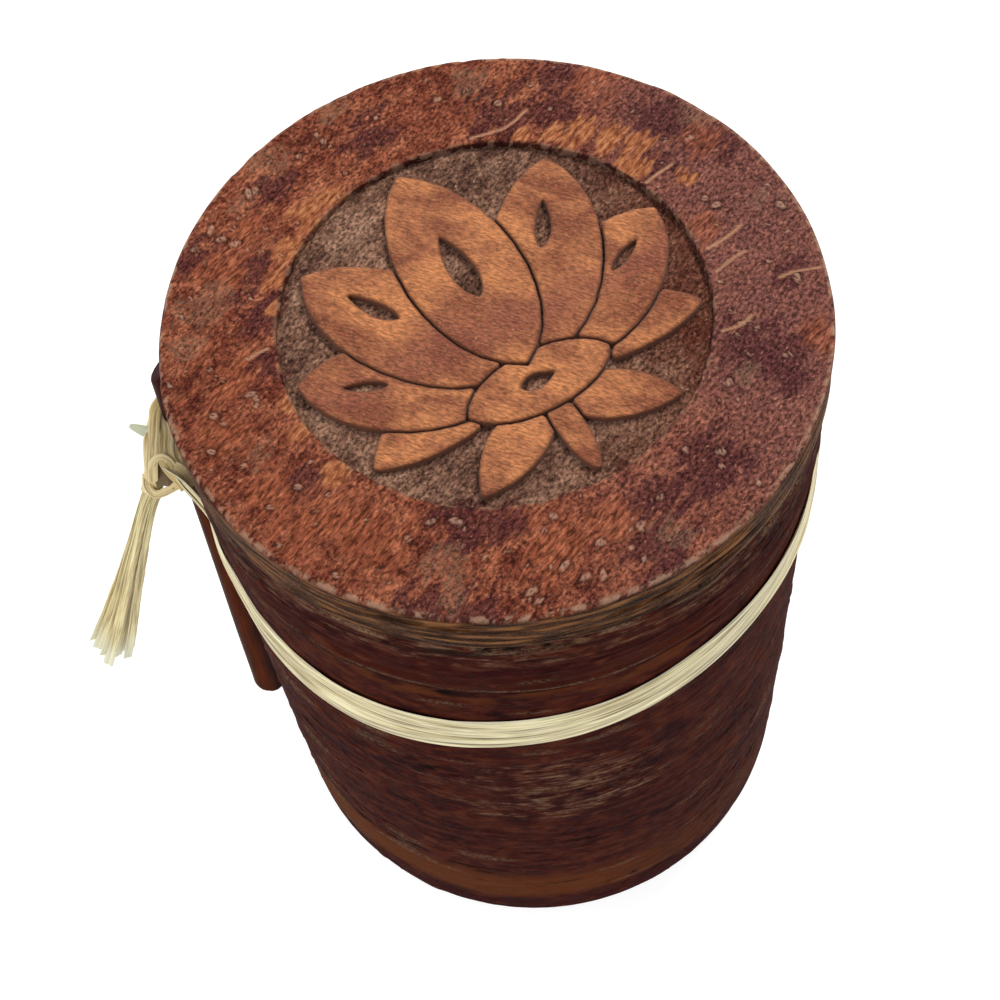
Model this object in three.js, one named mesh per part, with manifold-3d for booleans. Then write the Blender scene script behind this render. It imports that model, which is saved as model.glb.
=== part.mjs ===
// Round box of cinnamon bark with a lift-off lid, a pierced lotus on the lid, and a raffia tie that
// holds a narrow bark scoop against its left side. Millimetres, +Z up, origin in the middle of the
// underside, front towards -Y. Angles are in degrees, counted from +X towards +Y as seen from above.
import * as THREE from 'three';
import { mergeVertices } from 'three/addons/utils/BufferGeometryUtils.js';
import Module from 'manifold-3d';

const wasm = await Module();
wasm.setup();

// Body: a sheet of bark bent into a tube, with its two edges butted together at the back.
const bodyRadius = 41.2;
const bodyHeight = 95;
const barkThickness = 4;
const footRounding = 3;
const seamAngle = 90;
const seamWidth = 1;
const seamDepth = 1.4;
const seamChamfer = 0.6;

// Inside: a disc that closes the bottom, and a thin tube whose neck guides the lid.
const baseThickness = 4;
const linerThickness = 1.6;
const linerSeamAngle = 250;
const linerSeamDepth = 0.8;
const neckHeight = 10;
const mouthRounding = 0.5;
const slipClearance = 0.3;

// Lid: a short length of the same tube, closed by a disc that stands a little proud, with a face ring
// glued round the recess.
const lidRingInset = 0.1;
const lidRingHeight = 14;
const discOverhang = 0.4;
const groundThickness = 5.4;
const fieldThickness = 1.6;
const rimRounding = 0.8;
const windowRadius = 26.8;

// Ornament: a lotus fretsawn from bark, in pieces parted by the saw's kerf and standing as high as the
// face ring.
const ornamentTurn = 24;
const ornamentMargin = 1.6;
const kerf = 0.7;
const outlineSteps = 12;

// Scoop: a narrow stick with a rounded section, hollowed along its back. It stands edge on against the
// body, a little aslant, and the tie holds it there.
const scoopAngle = 173.8;
const scoopDepth = 6.1;
const scoopThickness = 4.2;
const scoopLength = 89;
const scoopBelowDisc = 9.7;
const scoopTilt = 6.5;
const scoopCornerRadius = 2.2;
const scoopSlant = 2.6;
const hollowRadius = 1.7;
const hollowDepth = 1.3;
const rimClearance = 0.1;

// Raffia: one flat strand wound round body and scoop, tied in a knot in front of the scoop.
const turns = 4;
const strandWidth = 1.6;
const strandThickness = 0.9;
const strandSides = 6;
const strandPitch = 2.15;
const wallSteps = 27;
const tieBelowSeam = 10;
const tieRiseRight = 2.9;
const tieRiseBack = 1.9;
const restGap = 0.35;
const dipBelowKnot = 3.1;
const dipReach = 52;
const crossingLift = 1.6;
const liftStart = 98;
const liftEnd = 128;
const dropStart = 156;
const dropEnd = 172;
const knotAngle = 179;
const knotAboveTie = 1.6;
const knotSize = 0.8;
const knotStrand = 1.2;
const knotStandOff = 1.3;
const knotSteps = 40;
const knotGap = 0.3;

// Tail and sprig: loose ends of raffia, placed from the knot's middle.
const tailDiameter = 0.6;
const tailSides = 8;
const tailSteps = 18;
const tailPitch = 0.86;
const rootSlope = 0.5;
const sprigLength = 3.6;
const sprigDiameter = 0.8;

const tubeSegments = 72;
const roundingSteps = 4;

// Sizes that follow from the ones above.
const boreRadius = bodyRadius - barkThickness;
const insertRadius = boreRadius - slipClearance;
const lidRingRadius = bodyRadius - lidRingInset;
const lidDiscRadius = lidRingRadius + discOverhang;
const groundBottom = bodyHeight + lidRingHeight;
const fieldBottom = groundBottom + groundThickness;
const lidTop = fieldBottom + fieldThickness;
const scoopInner = lidDiscRadius + rimClearance;
const scoopMiddle = groundBottom - scoopBelowDisc - scoopLength / 2 * Math.cos(radians(scoopTilt));
const tieHeight = bodyHeight - tieBelowSeam;
const knotHeight = tieHeight + knotAboveTie;
const knotLobe = 3 * knotSize;
const lobeAngle = 30;

const bark = new THREE.MeshStandardMaterial({ color: 0x45221b, roughness: 0.85, metalness: 0 });
const barkFace = new THREE.MeshStandardMaterial({ color: 0x75483f, roughness: 0.85, metalness: 0 });
const barkGround = new THREE.MeshStandardMaterial({ color: 0x774e3d, roughness: 0.95, metalness: 0 });
const barkScraped = new THREE.MeshStandardMaterial({ color: 0xbd7a52, roughness: 0.8, metalness: 0 });
const barkInner = new THREE.MeshStandardMaterial({ color: 0x8a5a38, roughness: 0.8, metalness: 0 });
const barkSmooth = new THREE.MeshStandardMaterial({ color: 0x5a2410, roughness: 0.6, metalness: 0 });
const raffia = new THREE.MeshStandardMaterial({ color: 0xd0bd88, roughness: 0.7, metalness: 0 });

const container = new THREE.Group();

function addPiece(name, geometry, material, group = container) {
  const mesh = new THREE.Mesh(geometry, material);
  mesh.name = name;
  group.add(mesh);
  return mesh;
}

function radians(degrees) {
  return degrees * Math.PI / 180;
}

// A closed three.js geometry as a solid that can be cut.
function solidFrom(geometry) {
  const bare = geometry.clone();
  bare.deleteAttribute('normal');
  bare.deleteAttribute('uv');
  const merged = mergeVertices(bare, 1e-4);
  const vertProperties = new Float32Array(merged.attributes.position.array);
  const triVerts = new Uint32Array(merged.index.array);
  return new wasm.Manifold(new wasm.Mesh({ numProp: 3, vertProperties, triVerts }));
}

function geometryFrom(solid) {
  const mesh = solid.getMesh();
  const geometry = new THREE.BufferGeometry();
  geometry.setAttribute('position', new THREE.BufferAttribute(new Float32Array(mesh.vertProperties), 3));
  geometry.setIndex(new THREE.BufferAttribute(new Uint32Array(mesh.triVerts), 1));
  geometry.computeVertexNormals();
  return geometry;
}

// Points of a quarter round in the (radius, height) plane, from one angle to another.
function quarter(centreRadius, centreHeight, radius, from, to) {
  const centre = new THREE.Vector2(centreRadius, centreHeight);
  const points = [];
  for (let step = 0; step <= roundingSteps; step += 1) {
    const angle = radians(from + (to - from) * step / roundingSteps);
    points.push(new THREE.Vector2(radius * Math.cos(angle), radius * Math.sin(angle)).add(centre));
  }
  return points;
}

// A ring or disc turned about the Z axis; the outline is closed on itself.
function turned(outline) {
  const geometry = new THREE.LatheGeometry([...outline, outline[0]], tubeSegments);
  return geometry.rotateX(Math.PI / 2);
}

function flatDisc(radius, bottom, top) {
  const outline = [[0, bottom], [radius, bottom], [radius, top], [0, top]];
  const points = outline.map((point) => new THREE.Vector2(...point));
  return new THREE.LatheGeometry(points, tubeSegments).rotateX(Math.PI / 2);
}

// Cuts the groove that the butted edges of a bent sheet leave down the outside of a tube.
function withButtSeam(geometry, radius, bottom, top, angle, depth) {
  const margin = seamWidth;
  const halfWidth = seamWidth / 2 * (depth + margin) / depth;
  const groove = new THREE.Shape([
    new THREE.Vector2(radius - depth, 0),
    new THREE.Vector2(radius + margin, -halfWidth),
    new THREE.Vector2(radius + margin, halfWidth),
  ]);
  const drawn = { depth: top - bottom + 2 * margin, bevelEnabled: false };
  const cutter = new THREE.ExtrudeGeometry(groove, drawn);
  cutter.translate(0, 0, bottom - margin);
  cutter.rotateZ(radians(angle));
  return geometryFrom(solidFrom(geometry).subtract(solidFrom(cutter)));
}

// The bark body, its bottom and its liner.
function makeBody() {
  const sleeve = turned([
    new THREE.Vector2(boreRadius, 0),
    ...quarter(bodyRadius - footRounding, footRounding, footRounding, -90, 0),
    new THREE.Vector2(bodyRadius, bodyHeight - seamChamfer),
    new THREE.Vector2(bodyRadius - seamChamfer, bodyHeight),
    new THREE.Vector2(boreRadius, bodyHeight),
  ]);
  addPiece('body_sleeve', withButtSeam(sleeve, bodyRadius, 0, bodyHeight, seamAngle, seamDepth), bark);
  addPiece('base_disc', flatDisc(insertRadius, 0, baseThickness), barkInner);
  const linerTop = bodyHeight + neckHeight;
  const linerBore = insertRadius - linerThickness;
  const liner = turned([
    new THREE.Vector2(linerBore, baseThickness),
    new THREE.Vector2(insertRadius, baseThickness),
    ...quarter(insertRadius - mouthRounding, linerTop - mouthRounding, mouthRounding, 0, 90),
    new THREE.Vector2(linerBore, linerTop),
  ]);
  const seamed = withButtSeam(liner, insertRadius, baseThickness, linerTop, linerSeamAngle, linerSeamDepth);
  addPiece('inner_liner', seamed, barkInner);
}

// The lid's skirt, its disc and the face ring with the round window.
function makeLid() {
  const skirt = turned([
    new THREE.Vector2(boreRadius, bodyHeight),
    new THREE.Vector2(lidRingRadius - seamChamfer, bodyHeight),
    new THREE.Vector2(lidRingRadius, bodyHeight + seamChamfer),
    new THREE.Vector2(lidRingRadius, groundBottom),
    new THREE.Vector2(boreRadius, groundBottom),
  ]);
  const seamed = withButtSeam(skirt, lidRingRadius, bodyHeight, groundBottom, seamAngle, seamDepth);
  addPiece('lid_ring', seamed, bark);
  addPiece('lid_ground_disc', flatDisc(lidDiscRadius, groundBottom, fieldBottom), barkGround);
  addPiece('lid_field_ring', turned([
    new THREE.Vector2(windowRadius, fieldBottom),
    new THREE.Vector2(lidDiscRadius, fieldBottom),
    ...quarter(lidDiscRadius - rimRounding, lidTop - rimRounding, rimRounding, 0, 90),
    new THREE.Vector2(windowRadius, lidTop),
  ]), barkFace);
}

// Ornament outlines lie in a plane of their own: x to the right of the lotus, y towards its tip. Their
// places are shares of the lotus's reach.
function leafOutline(base, tip, rightBulge, leftBulge, tipSharpness = 0.5) {
  const along = tip.clone().sub(base);
  const across = new THREE.Vector2(along.y, -along.x).normalize();
  const side = (bulge, share) => (
    base.clone().addScaledVector(along, share).addScaledVector(across, bulge));
  const low = 0.15;
  const high = 1 - tipSharpness / 2;
  const right = new THREE.CubicBezierCurve(base, side(rightBulge, low), side(rightBulge, high), tip);
  const left = new THREE.CubicBezierCurve(tip, side(-leftBulge, high), side(-leftBulge, low), base);
  return [right, left].flatMap((edge) => edge.getPoints(outlineSteps).slice(0, -1));
}

// The same outline, moved outwards by the given distance.
function grown(outline, distance) {
  return outline.map((point, index) => {
    const before = outline[(index + outline.length - 1) % outline.length];
    const after = outline[(index + 1) % outline.length];
    const first = point.clone().sub(before).normalize();
    const second = after.clone().sub(point).normalize();
    const bisector = new THREE.Vector2(first.y + second.y, -first.x - second.x);
    const reach = Math.max(bisector.length() / 2, 0.3);
    return point.clone().addScaledVector(bisector.normalize(), distance / reach);
  });
}

function mirrored(outline) {
  return outline.map((point) => new THREE.Vector2(-point.x, point.y)).reverse();
}

function plate(outline, bottom, top) {
  const drawn = { depth: top - bottom, bevelEnabled: false };
  return solidFrom(new THREE.ExtrudeGeometry(new THREE.Shape(outline), drawn).translate(0, 0, bottom));
}

// Petals in front come first: each later piece is cut back by a kerf from all that stand before it.
function makeOrnament() {
  const reach = windowRadius - ornamentMargin;
  const at = (x, y) => new THREE.Vector2(x, y).multiplyScalar(reach);
  const leaf = (base, tip, rightBulge, leftBulge, tipSharpness) => (
    leafOutline(base, tip, rightBulge * reach, leftBulge * reach, tipSharpness));
  const pieces = [
    ['lotus_centre_petal', leaf(at(0, -0.32), at(0, 1), 0.384, 0.384, 0.4),
      [leaf(at(0, 0.12), at(0, 0.58), 0.096, 0.096, 0.8)]],
    ['lotus_seat', leaf(at(-0.384, -0.448), at(0.384, -0.448), 0.208, 0.224, 0.3),
      [leaf(at(-0.104, -0.44), at(0.104, -0.44), 0.068, 0.068, 0.9)]],
    ['lotus_stem', leaf(at(0, -1), at(0, -0.48), 0.084, 0.084, 0.2), []],
    ['lotus_inner_petal', leaf(at(0.04, -0.34), at(0.7, 0.7), 0.4, 0.336, 0.36),
      [leaf(at(0.392, 0.216), at(0.568, 0.504), 0.076, 0.052, 0.8)]],
    ['lotus_outer_petal', leaf(at(0.08, -0.38), at(1, 0.136), 0.352, 0.328, 0.36),
      [leaf(at(0.616, -0.088), at(0.848, 0.028), 0.048, 0.048, 0.8)]],
    ['lotus_low_petal', leaf(at(0.16, -0.42), at(0.9, -0.46), 0.128, 0.296, 0.5), []],
    ['lotus_foot_leaf', leaf(at(0.04, -0.62), at(0.536, -0.856), 0.128, 0.216, 0.7), []],
  ];
  const middlePieces = ['lotus_centre_petal', 'lotus_seat', 'lotus_stem'];
  const ornament = new THREE.Group();
  ornament.rotation.z = radians(ornamentTurn);
  const standing = [];
  for (const [name, outline, piercings] of pieces) {
    const sides = middlePieces.includes(name) ? [['', outline, piercings]] : [
      ['_right', outline, piercings],
      ['_left', mirrored(outline), piercings.map(mirrored)],
    ];
    for (const [suffix, sideOutline, sidePiercings] of sides) {
      let solid = plate(sideOutline, fieldBottom, lidTop);
      for (const earlier of standing) {
        solid = solid.subtract(plate(grown(earlier, kerf), fieldBottom - kerf, lidTop + kerf));
      }
      for (const piercing of sidePiercings) {
        solid = solid.subtract(plate(piercing, fieldBottom - kerf, lidTop + kerf));
      }
      standing.push(sideOutline);
      addPiece(name + suffix, geometryFrom(solid), barkScraped, ornament);
    }
  }
  container.add(ornament);
}

// The scoop's section is drawn along its length, hollowed, and trimmed to an outline with a rounded foot
// and a slanting shoulder.
function makeScoop() {
  const round = scoopThickness / 2;
  const section = new THREE.Shape();
  section.absarc(scoopDepth - round, 0, round, -Math.PI / 2, Math.PI / 2, false);
  section.absarc(round, 0, round, Math.PI / 2, 1.5 * Math.PI, false);
  const drawn = { depth: scoopLength, bevelEnabled: false, curveSegments: 8 };
  const stick = new THREE.ExtrudeGeometry(section, drawn);
  const hollow = new THREE.CylinderGeometry(hollowRadius, hollowRadius, 2 * scoopLength, 20);
  hollow.rotateX(Math.PI / 2);
  hollow.translate(scoopDepth / 2, hollowDepth - round - hollowRadius, scoopLength);
  const outline = new THREE.Shape();
  outline.absarc(scoopCornerRadius, scoopCornerRadius, scoopCornerRadius, Math.PI, 1.5 * Math.PI, false);
  outline.absarc(
    scoopDepth - scoopCornerRadius, scoopCornerRadius, scoopCornerRadius, 1.5 * Math.PI, 2 * Math.PI, false,
  );
  outline.lineTo(scoopDepth, scoopLength - scoopSlant);
  outline.lineTo(scoopDepth - scoopSlant, scoopLength);
  outline.lineTo(0, scoopLength);
  const across = { depth: 2 * scoopThickness, bevelEnabled: false, curveSegments: 6 };
  const stamp = new THREE.ExtrudeGeometry(outline, across).translate(0, 0, -scoopThickness);
  stamp.rotateX(Math.PI / 2);
  const solid = solidFrom(stick).subtract(solidFrom(hollow)).intersect(solidFrom(stamp));
  const geometry = geometryFrom(solid);
  geometry.translate(scoopInner, 0, -scoopLength / 2);
  geometry.rotateX(radians(scoopTilt));
  geometry.translate(0, 0, scoopMiddle);
  geometry.rotateZ(radians(scoopAngle));
  addPiece('bark_scoop', geometry, barkSmooth);
}

// A point given by its distance from the axis, its angle and its height.
function polar(radius, angle, height) {
  return new THREE.Vector3(radius * Math.cos(radians(angle)), radius * Math.sin(radians(angle)), height);
}

// Height of the middle of the tie, which was wound a little aslant.
function tieMiddle(angle) {
  return tieHeight + tieRiseRight * Math.cos(radians(angle)) + tieRiseBack * Math.sin(radians(angle));
}

const strandOnWall = bodyRadius + restGap + strandThickness / 2;

// A taut strand bends round the scoop's outer edge: the bend's middle and radius, and the angles from the
// scoop at which the strand leaves the bend and meets the wall.
const bendCentre = scoopInner + scoopDepth - scoopThickness / 2;
const bendRadius = scoopThickness / 2 + restGap + strandThickness / 2;
const wallTurn = Math.acos((strandOnWall - bendRadius) / bendCentre) * 180 / Math.PI;
const bendTurn = Math.atan2(
  bendRadius * Math.sin(radians(wallTurn)), bendCentre + bendRadius * Math.cos(radians(wallTurn)),
) * 180 / Math.PI;

// Where the scoop stands at a height, as it is a little aslant.
function scoopTurn(height) {
  const aside = (height - scoopMiddle) * Math.tan(radians(scoopTilt));
  return scoopAngle - Math.atan2(aside, bendCentre) * 180 / Math.PI;
}

// Distance from the axis of a taut strand that passes round the wall and over the scoop.
function strandRadius(angle, height) {
  const away = Math.abs(((angle - scoopTurn(height) + 540) % 360) - 180);
  if (away <= bendTurn) {
    const aside = bendCentre * Math.sin(radians(away));
    return bendCentre * Math.cos(radians(away)) + Math.sqrt(bendRadius ** 2 - aside ** 2);
  }
  if (away < wallTurn) {
    return strandOnWall / Math.cos(radians(wallTurn - away));
  }
  return strandOnWall;
}

// The knot: a closed overhand loop, lying in the plane that touches the wall.
const knotRadius = strandRadius(knotAngle, knotHeight) + knotStandOff + knotStrand / 2 + knotSize;
const knotCentre = polar(knotRadius, knotAngle, knotHeight);
const outward = polar(1, knotAngle, 0);
const sideways = polar(1, knotAngle + 90, 0);
const upward = new THREE.Vector3(0, 0, 1);

// A place given from the knot's middle: outwards, along the wall towards the front, and up.
function fromKnot(out, along, up) {
  const place = knotCentre.clone().addScaledVector(outward, out);
  return place.addScaledVector(sideways, along).addScaledVector(upward, up);
}

// One unbroken tube through the given points: an oval section that stays flat against the given outward
// directions.
function sweptStrand(points, outwards, width, thickness, closed) {
  const positions = [];
  const count = points.length;
  for (let index = 0; index < count; index += 1) {
    const before = points[closed ? (index + count - 1) % count : Math.max(index - 1, 0)];
    const after = points[closed ? (index + 1) % count : Math.min(index + 1, count - 1)];
    const tangent = after.clone().sub(before).normalize();
    const wide = new THREE.Vector3().crossVectors(outwards[index], tangent).normalize();
    const thin = new THREE.Vector3().crossVectors(tangent, wide).normalize();
    for (let side = 0; side < strandSides; side += 1) {
      const angle = 2 * Math.PI * (side + 0.5) / strandSides;
      const corner = points[index].clone();
      corner.addScaledVector(wide, Math.sin(angle) * width / 2);
      corner.addScaledVector(thin, Math.cos(angle) * thickness / 2 / Math.cos(Math.PI / strandSides));
      positions.push(corner.x, corner.y, corner.z);
    }
  }
  const triangles = [];
  const rings = closed ? count : count - 1;
  for (let ring = 0; ring < rings; ring += 1) {
    const here = ring * strandSides;
    const next = ((ring + 1) % count) * strandSides;
    for (let side = 0; side < strandSides; side += 1) {
      const other = (side + 1) % strandSides;
      triangles.push(here + side, next + side, here + other, here + other, next + side, next + other);
    }
  }
  if (!closed) {
    const last = (count - 1) * strandSides;
    for (let side = 1; side < strandSides - 1; side += 1) {
      triangles.push(0, side, side + 1, last, last + side + 1, last + side);
    }
  }
  const geometry = new THREE.BufferGeometry();
  geometry.setAttribute('position', new THREE.Float32BufferAttribute(positions, 3));
  geometry.setIndex(triangles);
  geometry.computeVertexNormals();
  return geometry;
}

// A smooth step from 0 to 1 as the value goes from low to high.
function eased(value, low, high) {
  const share = Math.min(Math.max((value - low) / (high - low), 0), 1);
  return share * share * (3 - 2 * share);
}

// The winding leaves the knot towards the front, goes round below itself, and crosses back over to the
// knot.
function windingPoints() {
  const halfway = (bendTurn + wallTurn) / 2;
  const stations = [-bendTurn, 0, bendTurn, halfway];
  for (let step = 0; step <= wallSteps; step += 1) {
    stations.push(wallTurn + (360 - 2 * wallTurn) * step / wallSteps);
  }
  stations.push(360 - halfway);
  const reach = knotLobe * Math.cos(radians(lobeAngle)) + knotStrand / 2 + knotGap;
  const lobeRise = knotLobe * Math.sin(radians(lobeAngle));
  const points = [fromKnot(0, reach, lobeRise), fromKnot(0, reach + strandWidth, lobeRise)];
  const start = scoopTurn(tieHeight);
  const knotTurn = knotAngle - start;
  const leaveTurn = Math.acos(strandOnWall / knotRadius) * 180 / Math.PI;
  const straightEnd = (reach + strandWidth + 1) / knotRadius * 180 / Math.PI;
  const first = knotTurn + straightEnd;
  const last = 360 * turns + knotTurn - straightEnd;
  for (let turn = 0; turn <= turns; turn += 1) {
    for (const station of stations) {
      const along = station + 360 * turn;
      if (along <= first || along >= last) {
        continue;
      }
      const sinceKnot = along - knotTurn;
      const pass = Math.round(sinceKnot / 360);
      const isPass = pass > 0 && pass < turns;
      const fromPass = Math.abs(sinceKnot - 360 * pass);
      const dip = isPass ? dipBelowKnot * (1 - eased(fromPass, 0, dipReach)) : 0;
      const level = (turns / 2 - sinceKnot / 360) * strandPitch - dip;
      const placed = start + along - 360 * turns;
      const climb = placed > 0 ? eased(placed, liftEnd, knotAngle - straightEnd) : 0;
      const climbed = (height) => height + climb * (knotHeight + lobeRise - height);
      const angle = scoopTurn(climbed(tieMiddle(start) + level)) + along;
      const height = climbed(tieMiddle(angle) + level);
      let radius = strandRadius(angle, height);
      if (sinceKnot < leaveTurn) {
        radius = Math.max(radius, strandOnWall / Math.cos(radians(leaveTurn - sinceKnot)));
      }
      if (placed > 0) {
        const raised = eased(placed, liftStart, liftEnd) - eased(placed, dropStart, dropEnd);
        radius += crossingLift * raised;
      }
      points.push(polar(radius, angle, height));
    }
  }
  points.push(fromKnot(0, -reach - strandWidth, lobeRise), fromKnot(0, -reach, lobeRise));
  return points;
}

// Least distance between parts of the strand that are a quarter turn or more apart along it, less its
// own size.
function leastGap(points) {
  const apart = Math.round(wallSteps / 4);
  let least = Infinity;
  const closest = new THREE.Vector3();
  for (let index = 0; index < points.length; index += 1) {
    for (let other = index + apart; other < points.length - 1; other += 1) {
      const line = new THREE.Line3(points[other], points[other + 1]);
      line.closestPointToPoint(points[index], true, closest);
      const offset = closest.clone().sub(points[index]);
      const middle = new THREE.Vector3(points[index].x, points[index].y, 0).normalize();
      const across = Math.abs(offset.dot(middle));
      const along = Math.sqrt(Math.max(offset.lengthSq() - across * across, 0));
      const thickness = strandThickness / Math.cos(Math.PI / strandSides);
      least = Math.min(least, Math.max(along - strandWidth, across - thickness));
    }
  }
  return least;
}

function makeTie() {
  const winding = windingPoints();
  const outwards = winding.map((point) => new THREE.Vector3(point.x, point.y, 0).normalize());
  addPiece('raffia_winding', sweptStrand(winding, outwards, strandWidth, strandThickness, false), raffia);
  console.log(`raffia winding: least gap to itself ${leastGap(winding).toFixed(2)} mm`);
  const loop = [];
  for (let step = 0; step < knotSteps; step += 1) {
    const angle = 2 * Math.PI * step / knotSteps;
    const along = Math.sin(angle) + 2 * Math.sin(2 * angle);
    const up = Math.cos(angle) - 2 * Math.cos(2 * angle);
    loop.push(fromKnot(-knotSize * Math.sin(3 * angle), knotSize * along, knotSize * up));
  }
  const facing = loop.map(() => outward);
  addPiece('raffia_knot', sweptStrand(loop, facing, knotStrand, knotStrand, true), raffia);
}

// The tail's middle line, from the knot's middle: outwards, along the wall, up.
const tailRoute = [
  [1.3, 0, -3.2],
  [2.1, 0, -4.6],
  [3.1, 0.1, -6.8],
  [4.2, 0.2, -9.6],
  [5.4, 0.2, -12.9],
  [6.7, 0.2, -16.6],
  [8.1, 0.1, -20.6],
  [9.6, 0, -24.8],
  [11.1, -0.1, -29.1],
  [12.6, -0.1, -33.4],
  [14.2, 0, -37.8],
  [15.8, 0.1, -42.3],
  [17.5, 0.2, -46.9],
  [19.3, 0.2, -51.7],
  [21.1, 0.2, -56.3],
];

// Where each strand of the tail ends beside the middle line, outwards and along the wall, and the share
// of the middle line that it has.
const tailTips = [
  [-3.1, -1.5, 0.99],
  [3.5, -1.2, 0.93],
  [-1.9, -0.7, 1],
  [2.5, -0.5, 0.96],
  [-1.1, 0.5, 0.98],
  [1.3, 0.7, 0.97],
  [-2.5, 1.3, 0.97],
  [0.4, 1.6, 1],
];

function tubeAlong(points, diameter, sides, steps) {
  const section = new THREE.Shape();
  for (let side = 0; side < sides; side += 1) {
    const angle = 2 * Math.PI * side / sides;
    const place = [diameter / 2 * Math.cos(angle), diameter / 2 * Math.sin(angle)];
    if (side === 0) {
      section.moveTo(...place);
    } else {
      section.lineTo(...place);
    }
  }
  const extrudePath = new THREE.CatmullRomCurve3(points);
  return new THREE.ExtrudeGeometry(section, { steps, extrudePath, bevelEnabled: false });
}

// The sprig's middle line: the share of its length, and its place along the wall and up.
const sprigRoute = [
  [0, -1.2, 1.2],
  [0.5, -1.56, 1.68],
  [1, -1.68, 2.04],
];

// The strands leave the knot two abreast and part towards their tips; the outer row starts a little higher.
function makeTail() {
  tailTips.forEach(([tipOut, tipAlong, share], index) => {
    const rootOut = (index % 2 - 0.5) * tailPitch;
    const rootAlong = (Math.floor(index / 2) - 1.5) * tailPitch;
    const points = tailRoute.map(([out, along, up], place) => {
      const part = place / (tailRoute.length - 1);
      const fan = part * part;
      return fromKnot(
        out * (1 + (share - 1) * part) + rootOut + (tipOut - rootOut) * fan,
        along + rootAlong + (tipAlong - rootAlong) * fan,
        up * (1 + (share - 1) * part) + rootOut * rootSlope,
      );
    });
    addPiece(`raffia_tail_${index + 1}`, tubeAlong(points, tailDiameter, tailSides, tailSteps), raffia);
  });
  const sprigStart = knotSize + knotStrand / 2 + knotGap;
  const sprig = sprigRoute.map(([share, along, up]) => (
    fromKnot(sprigStart + share * sprigLength, along, up)));
  addPiece('raffia_sprig', tubeAlong(sprig, sprigDiameter, tailSides, 3), raffia);
}

makeBody();
makeLid();
makeOrnament();
makeScoop();
makeTie();
makeTail();

export default container;
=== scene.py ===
import itertools
import math

import bpy
import numpy as np
from mathutils import Matrix, Vector


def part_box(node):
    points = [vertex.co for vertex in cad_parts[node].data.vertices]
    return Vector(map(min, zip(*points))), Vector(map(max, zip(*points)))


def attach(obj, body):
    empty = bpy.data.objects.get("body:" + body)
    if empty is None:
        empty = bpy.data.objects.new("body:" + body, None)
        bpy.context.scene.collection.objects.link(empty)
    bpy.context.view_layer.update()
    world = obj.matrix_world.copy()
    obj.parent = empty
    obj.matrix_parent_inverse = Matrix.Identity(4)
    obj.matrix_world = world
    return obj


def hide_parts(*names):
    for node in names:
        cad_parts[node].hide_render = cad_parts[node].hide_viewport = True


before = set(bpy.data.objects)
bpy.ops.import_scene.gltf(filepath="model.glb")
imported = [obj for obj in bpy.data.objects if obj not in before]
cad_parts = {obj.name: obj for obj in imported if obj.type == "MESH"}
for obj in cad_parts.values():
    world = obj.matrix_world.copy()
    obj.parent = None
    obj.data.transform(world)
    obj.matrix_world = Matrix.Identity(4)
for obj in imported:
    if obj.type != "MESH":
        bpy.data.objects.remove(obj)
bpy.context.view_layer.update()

# Studio and viewpoint. The box stands on a pale floor under a broad lamp from behind on the right, with
# softer ones at the front and the left, and is seen from above the front, as in the photograph. Colours
# are shown as they are, without a film curve.
scene = bpy.context.scene
scene.view_settings.view_transform = "Standard"

CAMERA_LENS = 65.4951
CAMERA_PLACE = (0.0, -0.12791, 0.29986)
CAMERA_ELEVATION = 55.1736
CAMERA_PAN = -0.4722
CAMERA_TILT = 5.825
CAMERA_ROLL = 6.6927

camera = bpy.data.objects.new("camera", bpy.data.cameras.new("camera"))
camera.data.lens = CAMERA_LENS
camera.data.sensor_width = 36.0
camera.data.clip_start = 0.01
camera.location = CAMERA_PLACE
turns_of_camera = [
    (90 - CAMERA_ELEVATION, "X"), (-CAMERA_PAN, "Y"), (-CAMERA_TILT, "X"), (-CAMERA_ROLL, "Z")]
aim = Matrix.Identity(3)
for degrees, axis in turns_of_camera:
    aim = aim @ Matrix.Rotation(math.radians(degrees), 3, axis)
camera.rotation_euler = aim.to_euler()
scene.collection.objects.link(camera)
scene.camera = camera


def linear(hex_value):
    """A colour given as an sRGB hex value, in linear light."""
    shares = [(hex_value >> shift & 255) / 255 for shift in (16, 8, 0)]
    return [s / 12.92 if s <= 0.04045 else ((s + 0.055) / 1.055) ** 2.4 for s in shares] + [1.0]


def add_node(material, kind, inputs=None, stops=None, **settings):
    """A shader node with its settings, the values or links of its inputs, and a colour ramp's stops."""
    node = material.node_tree.nodes.new("ShaderNode" + kind)
    for name, value in settings.items():
        setattr(node, name, value)
    for socket, value in (inputs or {}).items():
        if isinstance(value, bpy.types.NodeSocket):
            material.node_tree.links.new(value, node.inputs[socket])
        else:
            node.inputs[socket].default_value = value
    for index, (place, colour) in enumerate(stops or []):
        element = node.color_ramp.elements[index] if index < 2 else node.color_ramp.elements.new(place)
        element.position = place
        element.color = colour
    return node


def new_material(name):
    """An empty node material, to be filled with nodes."""
    material = bpy.data.materials.new(name)
    material.use_nodes = True
    material.node_tree.nodes.clear()
    return material


FLOOR_HALF = 3.0
floor_mesh = bpy.data.meshes.new("floor")
corners = [(FLOOR_HALF * x, FLOOR_HALF * y, 0) for x, y in ((-1, -1), (1, -1), (1, 1), (-1, 1))]
floor_mesh.from_pydata(corners, [], [(0, 1, 2, 3)])
floor = bpy.data.objects.new("floor", floor_mesh)
scene.collection.objects.link(floor)

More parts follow.
